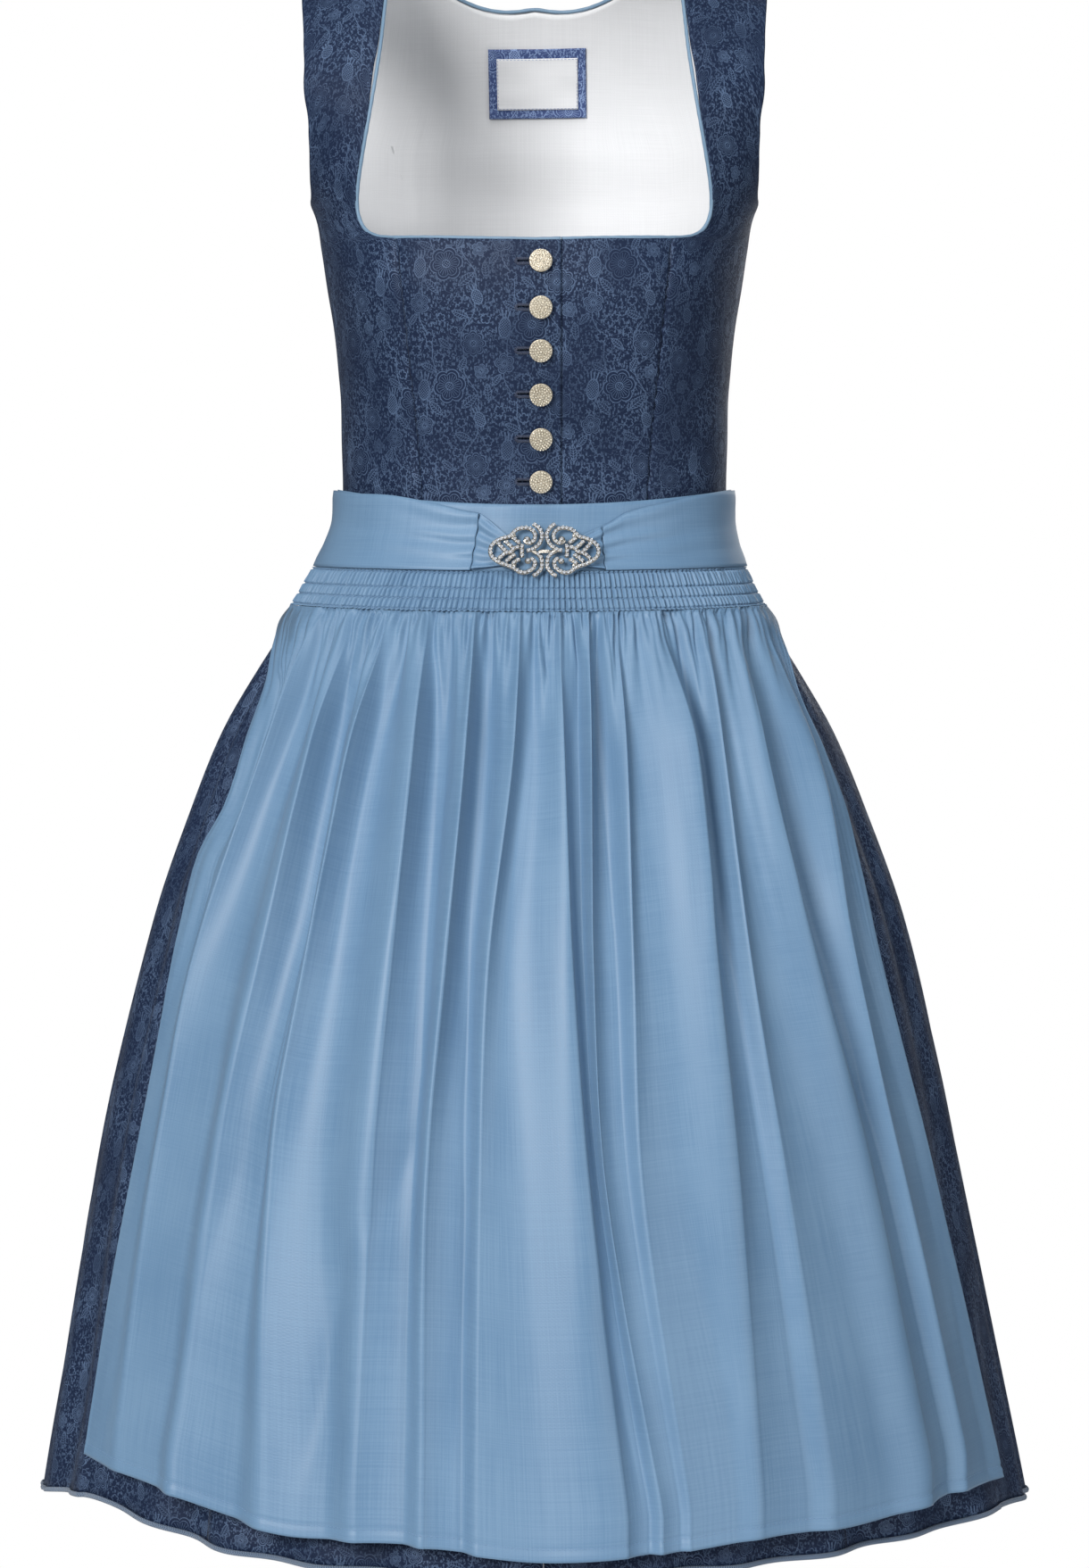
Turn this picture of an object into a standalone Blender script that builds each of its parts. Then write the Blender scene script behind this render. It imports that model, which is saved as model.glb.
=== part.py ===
# Dirndl: a sleeveless bodice, a gathered skirt and an apron with ties and a clasp, as worn.
# Metres, +Z up. The garment faces -Y, and left and right are the wearer's, so left is +X.
# The origin is at shoulder height over the middle of the waist.

from collections import namedtuple
from math import asin, copysign, cos, pi, radians, sin

import bmesh
import bpy
from mathutils import Matrix, Vector

COLLECTION = "dirndl"
CUTTERS = "dirndl_cutters"

# Cloth walls, and the gaps that part one piece from the next
BODICE_WALL = 0.0015
LINING_WALL = 0.0010
SKIRT_WALL = 0.0010
APRON_WALL = 0.0010
BAND_WALL = 0.0012
TRIM_WALL = 0.0006
SEAM_GAP = 0.0005
LAYER_GAP = 0.0007

# Sections of the garment, from below upwards. Above ROLL_START the level runs on along the
# cloth as it rolls over the shoulder, and reaches 0 at the shoulder seam. Sway and shift move a
# ring back and to the left. Square is 2 for an ellipse and more for a boxier ring.
BODY_SQUARE = 2.3
SECTION_COLUMNS = "level half_width front back sway shift square"
Section = namedtuple("Section", SECTION_COLUMNS, defaults=(0.0, BODY_SQUARE))
TORSO = (
    Section(-0.3450, 0.1235, 0.0940, 0.0820, -0.0010),
    Section(-0.3000, 0.1237, 0.1030, 0.0860, 0.0),
    Section(-0.2700, 0.1240, 0.1120, 0.0890, 0.0),
    Section(-0.2500, 0.1260, 0.1170, 0.0930, 0.0),
    Section(-0.2200, 0.1295, 0.1230, 0.0980, 0.0),
    Section(-0.1950, 0.1335, 0.1250, 0.1020, 0.0),
    Section(-0.1720, 0.1370, 0.1220, 0.1040, 0.0),
    Section(-0.1500, 0.1405, 0.1180, 0.1050, 0.0),
    Section(-0.1300, 0.1500, 0.1140, 0.1050, 0.0),
    Section(-0.1000, 0.1650, 0.1080, 0.1000, 0.0),
    Section(-0.0760, 0.1880, 0.1000, 0.0960, 0.0020),
    Section(-0.0400, 0.1950, 0.0940, 0.0900, 0.0055),
    Section(0.0, 0.2000, 0.0900, 0.0860, 0.0080),
)
SKIRT = (
    Section(-0.9800, 0.3205, 0.2720, 0.2690, -0.0010, -0.0008, 1.85),
    Section(-0.9000, 0.3050, 0.2580, 0.2550, -0.0020, -0.0020, 1.90),
    Section(-0.8000, 0.2868, 0.2400, 0.2370, -0.0035, -0.0040, 1.95),
    Section(-0.7000, 0.2667, 0.2200, 0.2170, -0.0045, -0.0040, 2.00),
    Section(-0.6000, 0.2417, 0.1950, 0.1910, -0.0040, -0.0040, 2.10),
    Section(-0.5300, 0.2165, 0.1730, 0.1680, -0.0040, -0.0040, 2.15),
    Section(-0.4800, 0.1960, 0.1530, 0.1470, -0.0040, -0.0040, 2.20),
    Section(-0.4400, 0.1732, 0.1350, 0.1280, -0.0040, -0.0040, 2.25),
    Section(-0.4050, 0.1510, 0.1180, 0.1100, -0.0030, -0.0038, 2.28),
    Section(-0.3750, 0.1352, 0.1040, 0.0940, -0.0020, -0.0028, 2.30),
    Section(-0.3450, 0.1235, 0.0940, 0.0820, -0.0010, -0.0008, 2.30),
)
WAIST = TORSO[0].level
HEM = -0.9750
ROLL_START = -0.1000
SHOULDER_AT_NECK = 0.0112
SHOULDER_SLOPE = 0.30
NECK_HALF_WIDTH = 0.0935
BUST_LIFT = 0.0060
BUST_LEVEL = -0.2050
BUST_HEIGHT = 0.0400
BUST_X = 0.0820
BUST_WIDTH = 0.0350

# Rows of the side front: its inner edge is the princess seam and then the neckline, and its
# outer edge is the side seam (SIDE) up to the underarm, and then the armhole.
Row = namedtuple("Row", "inner_x inner_z outer_x outer_z")
SIDE = 1.0
TOP = 1.0
SIDE_FRONT = (
    Row(0.0700, WAIST, SIDE, WAIST),
    Row(0.0713, -0.3200, SIDE, -0.3195),
    Row(0.0731, -0.2950, SIDE, -0.2940),
    Row(0.0754, -0.2700, SIDE, -0.2680),
    Row(0.0783, -0.2450, SIDE, -0.2420),
    Row(0.0808, -0.2200, SIDE, -0.2160),
    Row(0.0832, -0.1950, SIDE, -0.1910),
    Row(0.0868, -0.1706, SIDE, -0.1690),
    Row(0.0990, -0.1692, SIDE, -0.1475),
    Row(0.1075, -0.1640, 0.1415, -0.1390),
    Row(0.1122, -0.1530, 0.1416, -0.1290),
    Row(0.1121, -0.1380, 0.1419, -0.1170),
    Row(0.1092, -0.1190, 0.1425, -0.1030),
    Row(0.1052, -0.0970, 0.1434, -0.0860),
    Row(0.1010, -0.0720, 0.1447, -0.0640),
    Row(0.0977, -0.0480, 0.1460, -0.0430),
    Row(0.0957, -0.0240, 0.1470, -0.0275),
    Row(0.0944, -0.0060, 0.1478, -0.0185),
    Row(0.0937, 0.0060, 0.1484, -0.0115),
    Row(NECK_HALF_WIDTH, TOP, 0.1490, TOP),
)
SIDE_BACK = (
    Row(0.0500, WAIST, SIDE, WAIST),
    Row(0.0540, -0.3000, SIDE, -0.2950),
    Row(0.0610, -0.2500, SIDE, -0.2450),
    Row(0.0690, -0.2050, SIDE, -0.1980),
    Row(0.0760, -0.1740, SIDE, -0.1660),
    Row(0.0810, -0.1520, SIDE, -0.1475),
    Row(0.0850, -0.1350, 0.1430, -0.1340),
    Row(0.0905, -0.1140, 0.1442, -0.1150),
    Row(0.0965, -0.0920, 0.1453, -0.0950),
    Row(0.1030, -0.0680, 0.1463, -0.0740),
    Row(0.1090, -0.0440, 0.1471, -0.0540),
    Row(0.1140, -0.0240, 0.1478, -0.0380),
    Row(0.1180, -0.0090, 0.1484, -0.0250),
    Row(0.1205, -0.0010, 0.1488, -0.0150),
    Row(0.1220, TOP, 0.1490, TOP),
)
SIDE_FRONT_COLUMNS = 6
SIDE_BACK_COLUMNS = 4
NECKLINE_CENTRE = -0.1729
NECKLINE_SEAM = SIDE_FRONT[7].inner_z
BACK_SPREAD = (1.0, 0.88, 0.766, 0.60, 0.41, 0.20)
BACK_NECK_DROP = 0.0540
BACK_NECK_POWER = 2.5

# Lap of the fronts and the buttons
LAP_EDGE_X = 0.0165
UNDERLAP_X = -0.0120
LAP_RAMP_X = -0.0240
LAP_FULL_X = -0.0150
LAP_COLUMNS = (0.0030,)
FRONT_COLUMNS = 5
BUTTON_X = 0.0042
BUTTON_LEVELS = (-0.1863, -0.2142, -0.2405, -0.2673, -0.2946, -0.3214)
BUTTON_RADIUS = 0.0075
BUTTON_HEIGHT = 0.0062
BUTTON_RIM = 0.0012
BUTTON_GAP = 0.0009
SHANK_RADIUS = 0.0011
BUTTONHOLE_LENGTH = 0.0150
BUTTONHOLE_HEIGHT = 0.0028
CUTTER_DEPTH = 0.0060
DOME_STEPS = 5
TURN_STEPS = 12

# Lining, label and piping
LINING_DEPTH = BODICE_WALL + LAYER_GAP
LABEL_X = 0.0018
LABEL_Z = -0.0544
LABEL_BORDER_SIZE = (0.0660, 0.0460)
LABEL_SIZE = (0.0550, 0.0340)
LABEL_TURN = radians(0.8)
LABEL_DEPTH = LINING_DEPTH + LINING_WALL + 0.0012
PIPING_RADIUS = 0.0014
PIPING_CLEARANCE = 0.0006
PIPING_END_X = 0.0205
PIPING_RIGHT_XS = (-0.0450, -0.0680)
PIPING_LEFT_XS = (0.0680, 0.0450, 0.0320)
BELOW_SHOULDER_SEAM = -0.0020

# Skirt
SKIRT_FOLDS = 28
COLUMNS_PER_FOLD = 4
SKIRT_LEVELS = (HEM, -0.8150, -0.6700, -0.5400, -0.4550, -0.4020, -0.3770, WAIST - 0.0006)
# Panels of the skirt: the columns of their seams, which are at the sides, at the centre, and
# between those halfway down the slope of a fold
SkirtPanel = namedtuple("SkirtPanel", "name first last")
SKIRT_PANELS = (
    SkirtPanel("side_front_right", -28, -13),
    SkirtPanel("front_right", -13, 0),
    SkirtPanel("front_left", 0, 13),
    SkirtPanel("side_front_left", 13, 28),
    SkirtPanel("side_back_left", 28, 43),
    SkirtPanel("back_left", 43, 56),
    SkirtPanel("back_right", 56, 69),
    SkirtPanel("side_back_right", 69, 84),
)
SkirtStage = namedtuple("SkirtStage", "level fold inset tuck")
SKIRT_STAGES = (
    SkirtStage(-0.9750, 0.0110, 0.0, 0.0170),
    SkirtStage(-0.8000, 0.0100, 0.0, 0.0170),
    SkirtStage(-0.6600, 0.0080, 0.0, 0.0160),
    SkirtStage(-0.5300, 0.0055, 0.0, 0.0140),
    SkirtStage(-0.4500, 0.0030, 0.0, 0.0060),
    SkirtStage(-0.4020, 0.0020, 0.0, 0.0),
    SkirtStage(-0.3770, 0.0016, 0.0006, 0.0),
    SkirtStage(-0.3450, 0.0012, 0.0010, 0.0),
)
# The columns drift a little from even spacing, and the folds are not all as deep
Drift = namedtuple("Drift", "size waves phase")
COLUMN_DRIFTS = (Drift(radians(2.0), 5, 1.0), Drift(radians(1.0), 11, 0.0))
DEPTH_DRIFT = Drift(0.3, 3, 0.6)
# The folds are calm near the side seams and under the apron, and none lies on a seam
CALM_FOLD = 0.0015
TUCKED_FOLD = 0.0040
CALM_SPAN = radians(6)
SETTLE_START = radians(8)
SETTLE_SPAN = radians(44)
TUCK_SPAN = radians(24)
# Level of a hem, by the angle from the centre front
Hem = namedtuple("Hem", "degrees level")
SKIRT_HEM = (
    Hem(-180.0, HEM),
    Hem(-115.0, HEM),
    Hem(-90.0, -0.9745),
    Hem(-62.0, -0.9573),
    Hem(-52.0, -0.9650),
    Hem(-37.0, -0.9770),
    Hem(0.0, -0.9785),
    Hem(37.0, -0.9775),
    Hem(57.0, -0.9730),
    Hem(68.0, -0.9705),
    Hem(90.0, -0.9760),
    Hem(115.0, HEM),
    Hem(180.0, HEM),
)
HEM_BRAID_HEIGHT = 0.0045
HEM_BRAID_WALL = 0.0010

# Band and ties of the apron, outwards from sections that bridge the hollow of the waist
BAND = (
    Section(-0.3800, 0.1372, 0.1062, 0.0965, -0.0020, -0.0030),
    Section(-0.3690, 0.1320, 0.1012, 0.0908, -0.0018, -0.0025),
    Section(-0.3580, 0.1275, 0.0977, 0.0866, -0.0015, -0.0018),
    Section(-0.3450, 0.1243, 0.0957, 0.0840, -0.0010, -0.0008),
    Section(-0.3250, 0.1237, 0.0966, 0.0842, -0.0004, -0.0002),
)
WRAP_STEP = radians(7.5)
BAND_OUT = 0.0038
TIE_GAP = 0.0011
TIE_OUT = BAND_OUT + TIE_GAP + BAND_WALL
BAND_HALF_ANGLE = radians(97.5)
BAND_TOP_FRONT = -0.3358
BAND_TOP_SIDE = -0.3252
BAND_BOTTOM_FRONT = -0.3774
BAND_BOTTOM_SIDE = -0.3747
BAND_STRIPS = 3
TIE_STRIPS = 3
# Each tie runs from the clasp round its own side, crosses the other at the centre back and ends
# at the far end of the band. High is 1 on the outer layer and 0 on the layer of the band.
LEFT_TIE_SEAM = radians(16.6)
RIGHT_TIE_SEAM = radians(12.4)
TIE_END = radians(262.25)
TieStation = namedtuple("TieStation", "degrees left_top right_top bottom left_high right_high")
TIE = (
    TieStation(12.0, -0.3500, -0.3410, -0.3764, 1.0, 1.0),
    TieStation(17.0, -0.3486, -0.3390, -0.3764, 1.0, 1.0),
    TieStation(24.0, -0.3405, -0.3355, -0.3762, 1.0, 1.0),
    TieStation(40.0, -0.3333, -0.3300, -0.3758, 1.0, 1.0),
    TieStation(57.0, -0.3284, -0.3284, -0.3750, 1.0, 1.0),
    TieStation(90.0, -0.3256, -0.3256, -0.3740, 1.0, 1.0),
    TieStation(115.0, -0.3258, -0.3258, -0.3715, 1.0, 1.0),
    TieStation(140.0, -0.3262, -0.3262, -0.3500, 1.0, 1.0),
    TieStation(150.0, -0.3265, -0.3265, -0.3472, 1.0, 0.5),
    TieStation(160.0, -0.3275, -0.3275, -0.3490, 1.0, 0.0),
    TieStation(180.0, -0.3390, -0.3390, -0.3620, 1.0, 0.0),
    TieStation(200.0, -0.3520, -0.3520, -0.3735, 1.0, 0.0),
    TieStation(210.0, -0.3535, -0.3535, -0.3737, 0.5, 0.0),
    TieStation(220.0, -0.3510, -0.3510, -0.3737, 0.0, 0.0),
    TieStation(245.0, -0.3330, -0.3330, -0.3737, 0.0, 0.0),
    TieStation(262.5, -0.3290, -0.3290, -0.3738, 0.0, 0.0),
)

# Gathered header of the apron
TUCKS = 84
TUCK_HEIGHT = 0.0016
GATHERS_HALF_ANGLE = radians(96)
GATHERS_INNER_TOP = 0.0024
GATHERS_INNER_BOTTOM = 0.0030
GATHERS_WALL = 0.0012
GATHERS_TOP_GAP = 0.0009
GATHERS_BOTTOM_FRONT = -0.4022
GATHERS_BOTTOM_SIDE = -0.3985

# Apron panel: its side edges, in degrees from the centre front, and the crests of its folds as x
# at five levels. Each crest drops sharply on its left and rises slowly to the next one.
ApronEdge = namedtuple("ApronEdge", "level right left")
APRON_EDGES = (
    ApronEdge(-0.9450, 63.3, 69.0),
    ApronEdge(-0.8700, 62.5, 67.8),
    ApronEdge(-0.7700, 61.0, 64.7),
    ApronEdge(-0.6850, 60.8, 61.8),
    ApronEdge(-0.6100, 60.3, 60.7),
    ApronEdge(-0.5650, 62.0, 62.2),
    ApronEdge(-0.5320, 57.5, 64.3),
    ApronEdge(-0.4950, 57.8, 64.3),
    ApronEdge(-0.4550, 62.5, 65.2),
    ApronEdge(-0.4250, 77.0, 76.0),
    ApronEdge(-0.4025, 94.0, 94.0),
)
FOLD_LEVELS = (-0.4020, -0.4910, -0.6150, -0.7500, -0.9400)
Fold = namedtuple("Fold", "top upper middle lower hem depth fade")
APRON_FOLDS = (
    Fold(-0.1380, -0.1660, -0.2080, -0.2360, -0.2620, 0.0050, 0.4),
    Fold(-0.1150, -0.1370, -0.1650, -0.1950, -0.2230, 0.0060, 0.8),
    Fold(-0.0905, -0.1120, -0.1370, -0.1600, -0.1660, 0.0070, 0.5),
    Fold(-0.0665, -0.0725, -0.0850, -0.0975, -0.1060, 0.0070, 0.7),
    Fold(-0.0360, -0.0410, -0.0520, -0.0635, -0.0655, 0.0065, 0.8),
    Fold(-0.0080, -0.0125, -0.0270, -0.0315, -0.0330, 0.0045, 0.5),
    Fold(0.0155, 0.0185, 0.0235, 0.0340, 0.0565, 0.0035, 1.3),
    Fold(0.0340, 0.0345, 0.0360, 0.0440, 0.0780, 0.0050, 0.5),
    Fold(0.0520, 0.0565, 0.0605, 0.0665, 0.0950, 0.0030, 0.5),
    Fold(0.0790, 0.0985, 0.1110, 0.1255, 0.1400, 0.0080, 0.3),
    Fold(0.1060, 0.1165, 0.1320, 0.1550, 0.1850, 0.0030, 0.6),
    Fold(0.1310, 0.1420, 0.1720, 0.2080, 0.2470, 0.0050, 1.0),
    Fold(0.1450, 0.1750, 0.1970, 0.2300, 0.2740, 0.0050, 0.6),
)
# One fold's columns, as a share of the way to the next crest, at the top and at the hem, and
# their height as a share of the depth of this crest and of the next
FoldColumn = namedtuple("FoldColumn", "share_top share_hem own next")
FOLD_COLUMNS = (
    FoldColumn(0.0, 0.0, 1.0, 0.0),
    FoldColumn(0.14, 0.34, -1.0, 0.0),
    FoldColumn(0.48, 0.60, -0.45, 0.10),
    FoldColumn(0.80, 0.84, 0.0, 0.70),
)
APRON_LEVELS = (1.0, 0.82, 0.65, 0.50, 0.37, 0.285, 0.225, 0.16, 0.095, 0.04, 0.0)
APRON_OUT = 0.0056
EDGE_EASE = radians(20)
EDGE_FOLD = 0.25
TOP_FOLD = 0.22
GROWTH_SHARE = 0.14
APRON_HEM = (
    Hem(-66.0, -0.9290),
    Hem(-58.0, -0.9330),
    Hem(-46.0, -0.9405),
    Hem(-37.5, -0.9495),
    Hem(-29.0, -0.9570),
    Hem(-22.0, -0.9565),
    Hem(-13.5, -0.9575),
    Hem(0.0, -0.9650),
    Hem(11.5, -0.9630),
    Hem(19.0, -0.9610),
    Hem(28.0, -0.9570),
    Hem(40.0, -0.9565),
    Hem(56.0, -0.9500),
    Hem(73.0, -0.9500),
)

# Clasp: each half is a pierced plate with a bar behind it that holds the loop of its tie
CLASP_X = 0.0060
CLASP_Z = -0.3664
CLASP_STAND_OFF = 0.0043
CLASP_THICKNESS = 0.0024
CLASP_GAP = 0.0003
CLASP_OUTLINE = (
    (0.0, 10.0), (1.8, 15.2), (5.6, 18.2), (8.8, 16.7), (13.0, 15.9), (18.5, 12.8), (21.8, 9.6),
    (27.8, 7.0), (32.6, 2.8), (34.6, -1.2), (32.0, -5.4), (25.6, -9.2), (20.0, -12.6),
    (15.2, -15.8), (10.4, -15.8), (7.0, -17.6), (3.0, -15.2), (0.0, -9.6), (1.8, -4.2),
    (4.2, -0.6), (1.8, 3.6),
)
CLASP_HOLES = ((13.2, 9.0, 3.6), (13.4, -9.2, 3.6), (28.9, -1.4, 2.2))
MILLIMETRE = 0.001
BAR_X = 0.0187
BAR_WIDTH = 0.0025
BAR_THICKNESS = 0.0009
BAR_HALF_LENGTH = 0.0108
BAR_DEPTH = 0.0022
POST_THICKNESS = 0.0018
POST_INSET = 0.0001
TONGUE_SIZE = (0.0110, 0.0040, 0.0010)
TONGUE_X = 0.0020
TONGUE_GAP = 0.0005
RISER_SIZE = (0.0020, 0.0036, 0.0018)
LOOP_WALL = 0.0010
LOOP_HALF_HEIGHT_AT_BAR = 0.0084
LOOP_EASE = 0.0003
LOOP_STATIONS = (0.33, 0.70)
LOOP_TURN = 0.35
LOOP_TAIL = 0.0020


# Curves read between the rows of a table

def read(table, level):
    # The row of a table at any level, on a smooth curve through its rows. The first column rises.
    level = min(max(level, table[0][0]), table[-1][0])
    above = max(1, next(index for index, row in enumerate(table) if row[0] >= level))
    low, high = table[above - 1], table[above]
    before, beyond = table[max(above - 2, 0)], table[min(above + 1, len(table) - 1)]
    span = high[0] - low[0]
    part = (level - low[0]) / span

    def blend(column):
        start, end = low[column], high[column]
        leaving = (end - before[column]) / (high[0] - before[0]) * span
        arriving = (beyond[column] - start) / (beyond[0] - low[0]) * span
        rest = 1 - part
        value = start * (1 + 2 * part) * rest ** 2 + end * (3 - 2 * part) * part ** 2
        return value + leaving * part * rest ** 2 - arriving * part ** 2 * rest

    return type(low)(*(blend(column) for column in range(len(low))))


def mix(start, end, part):
    return start + (end - start) * part


def smooth(part):
    part = min(max(part, 0.0), 1.0)
    return part * part * (3 - 2 * part)


# Points on the garment, by the angle from the centre front and the level

def ring(section, angle, out):
    bend = 2 / section.square
    across = copysign(abs(sin(angle)) ** bend, sin(angle))
    ahead = copysign(abs(cos(angle)) ** bend, cos(angle))
    depth = section.front if ahead > 0 else section.back
    x = section.shift + (section.half_width + out) * across
    return Vector((x, section.sway - (depth + out) * ahead, section.level))


def angle_of(section, x, out=0.0):
    aside = x - section.shift
    share = min(abs(aside) / (section.half_width + out), 1.0)
    return copysign(asin(share ** (section.square / 2)), aside)


def shoulder_top(x):
    return SHOULDER_AT_NECK + (NECK_HALF_WIDTH - abs(x)) * SHOULDER_SLOPE


def torso(angle, level, out=0.0):
    section = read(TORSO, level)
    point = ring(section, angle, out)
    if cos(angle) > 0:
        rise = (level - BUST_LEVEL) / BUST_HEIGHT
        aside = (abs(point.x) - BUST_X) / BUST_WIDTH
        point.y -= BUST_LIFT * 2 ** -(rise ** 2 + aside ** 2)
    if level > ROLL_START:
        turn = (1 - level / ROLL_START) * pi / 2
        point.y = section.sway + (point.y - section.sway) * cos(turn)
        point.z = ROLL_START + (shoulder_top(point.x) + out - ROLL_START) * sin(turn)
    return point


def hips(angle, level, out=0.0):
    return ring(read(SKIRT, level), angle, out)


def waist(angle, level, out=0.0):
    return ring(read(BAND, level), angle, out)


def along_cloth(x, z):
    # The level along the cloth of a point at height z above x
    if z >= shoulder_top(x):
        return -SEAM_GAP
    if z <= ROLL_START:
        return z
    turn = asin((z - ROLL_START) / (shoulder_top(x) - ROLL_START))
    return ROLL_START * (1 - turn / (pi / 2))


def front_place(x, z):
    # Angle and level of a point of the front that shows at x and z
    level = along_cloth(x, z)
    return angle_of(read(TORSO, level), x), level


def outer_place(row):
    # The same for the outer edge of a row, which is the side seam or the armhole
    if row.outer_x == SIDE:
        return pi / 2, row.outer_z
    return front_place(row.outer_x, row.outer_z)


def frame_at(surface, angle, level, out):
    # Axes on a surface: x to the left of the wearer, y up along the cloth, z outwards
    step = 0.001
    across = surface(angle + step, level, out) - surface(angle - step, level, out)
    rise = surface(angle, level + step, out) - surface(angle, level - step, out)
    outwards = across.cross(rise).normalized()
    upwards = outwards.cross(across).normalized()
    axes = Matrix((across.normalized(), upwards, outwards)).transposed().to_4x4()
    return Matrix.Translation(surface(angle, level, out)) @ axes


# Objects and materials

def start_scene():
    for item in list(bpy.data.objects):
        bpy.data.objects.remove(item, do_unlink=True)
    for name in (COLLECTION, CUTTERS):
        bpy.context.scene.collection.children.link(bpy.data.collections.new(name))


def material(name, colour, roughness, metallic=0.0):
    finish = bpy.data.materials.new(name)
    finish.use_nodes = True
    shader = finish.node_tree.nodes["Principled BSDF"]
    shader.inputs["Base Color"].default_value = (*colour, 1.0)
    shader.inputs["Roughness"].default_value = roughness
    shader.inputs["Metallic"].default_value = metallic
    return finish


def add_object(name, mesh, finish, collection=COLLECTION):
    piece = bpy.data.objects.new(name, mesh)
    bpy.data.collections[collection].objects.link(piece)
    if finish:
        mesh.materials.append(finish)
    return piece


def grid_mesh(name, rows):
    # A sheet through rows of points, each row running to the wearer's left and each one higher
    work = bmesh.new()
    lines = [[work.verts.new(point) for point in row] for row in rows]
    for low, high in zip(lines, lines[1:]):
        for corners in zip(low, low[1:], high[1:], high):
            work.faces.new(corners)
    mesh = bpy.data.meshes.new(name)
    work.to_mesh(mesh)
    work.free()
    mesh.shade_smooth()
    return mesh


def cloth(name, rows, wall, finish):
    # Cloth whose outer face runs through the points, with its wall on the inside
    piece = add_object(name, grid_mesh(name, rows), finish)
    solidify = piece.modifiers.new("wall", "SOLIDIFY")
    solidify.thickness = wall
    solidify.offset = -1
    return piece


def welded_mesh(item):
    # The evaluated mesh of a filled curve, in world space and with its caps welded on
    graph = bpy.context.evaluated_depsgraph_get()
    mesh = bpy.data.meshes.new_from_object(item.evaluated_get(graph))
    mesh.transform(item.matrix_world)
    work = bmesh.new()
    work.from_mesh(mesh)
    bmesh.ops.remove_doubles(work, verts=work.verts, dist=0.00001)
    bmesh.ops.recalc_face_normals(work, faces=work.faces)
    work.to_mesh(mesh)
    work.free()
    bpy.data.objects.remove(item, do_unlink=True)
    return mesh


def box_mesh(name, size, place):
    work = bmesh.new()
    scale = Matrix.Diagonal((*size, 1.0))
    bmesh.ops.create_cube(work, size=1.0, matrix=place @ scale)
    mesh = bpy.data.meshes.new(name)
    work.to_mesh(mesh)
    work.free()
    return mesh


def add_boolean(piece, operation, other):
    boolean = piece.modifiers.new(other.name, "BOOLEAN")
    boolean.operation = operation
    boolean.object = other
    boolean.solver = "EXACT"
    other.hide_render = True
    other.display_type = "WIRE"


# Bodice

def lap_out(x):
    # The right front steps out over the left front
    part = (x - LAP_RAMP_X) / (LAP_FULL_X - LAP_RAMP_X)
    return (BODICE_WALL + SEAM_GAP) * min(max(part, 0.0), 1.0)


def spread(start, end, count):
    return [mix(start, end, step / count) for step in range(count + 1)]


def open_seams(row):
    # Takes half a seam gap off both ends of a row
    for end, neighbour in ((0, 1), (-1, -2)):
        row[end] += (row[neighbour] - row[end]).normalized() * SEAM_GAP / 2


def front_rows(lapped):
    # A centre front, on the same rows as the princess seam that it is sewn to
    seam = [row for row in SIDE_FRONT if row.inner_z <= NECKLINE_SEAM]
    rows = []
    for entry in seam:
        seam_x = entry.inner_x - SEAM_GAP / 2
        if lapped:
            places = spread(-seam_x, LAP_RAMP_X, FRONT_COLUMNS)
            places += [LAP_FULL_X, *LAP_COLUMNS, LAP_EDGE_X]
        else:
            places = spread(UNDERLAP_X, seam_x, FRONT_COLUMNS + 2)
        share = (entry.inner_z - WAIST) / (NECKLINE_SEAM - WAIST)
        row = []
        for x in places:
            dip = (NECKLINE_CENTRE - NECKLINE_SEAM) * (1 - abs(x) / seam_x) * share
            level = entry.inner_z + dip
            out = lap_out(x) if lapped else 0.0
            row.append(torso(angle_of(read(TORSO, level), x), level, out))
        rows.append(row)
    return rows


def read_pair(pairs, place):
    Pair = namedtuple("Pair", "place value")
    return read([Pair(*pair) for pair in pairs], place).value


def side_front_rows(side):
    # From the princess seam and the neckline to the side seam with the armhole above it
    rows = []
    for entry in SIDE_FRONT:
        inner = front_place(entry.inner_x + SEAM_GAP / 2, entry.inner_z)
        outer = outer_place(entry)
        row = []
        for part in spread(0.0, 1.0, SIDE_FRONT_COLUMNS):
            point = torso(mix(inner[0], outer[0], part), mix(inner[1], outer[1], part))
            point.x *= side
            row.append(point)
        row[-1].y -= SEAM_GAP / 2
        rows.append(row[::side])
    return rows


def back_neck(x):
    # How far the neckline lies below the shoulder seam, along the cloth
    share = min(abs(x) / NECK_HALF_WIDTH, 1.0)
    return BACK_NECK_DROP * (1 - share ** BACK_NECK_POWER)


def half_back_places(entry, index):
    # Angles and levels of one row of the left half, from the side to the centre back
    outer = outer_place(entry)
    seam = front_place(entry.inner_x, entry.inner_z)
    sag = (index / (len(SIDE_BACK) - 1)) ** 2
    places = []
    for part in spread(0.0, 1.0, SIDE_BACK_COLUMNS):
        places.append((pi - mix(outer[0], seam[0], part), mix(outer[1], seam[1], part)))
    for share in (*BACK_SPREAD[1:], 0.0):
        level = seam[1] - back_neck(share * SIDE_BACK[-1].inner_x) * sag
        places.append((pi - angle_of(read(TORSO, level), share * entry.inner_x), level))
    return places


def back_rows(out, first, last):
    # Columns first to last of the whole back, from the left side seam to the right one
    rows = []
    for index, entry in enumerate(SIDE_BACK):
        half = half_back_places(entry, index)
        places = half + [(2 * pi - angle, level) for angle, level in reversed(half[:-1])]
        row = [torso(angle, level, out) for angle, level in places[first:last + 1]]
        open_seams(row)
        rows.append(row)
    return rows


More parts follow.
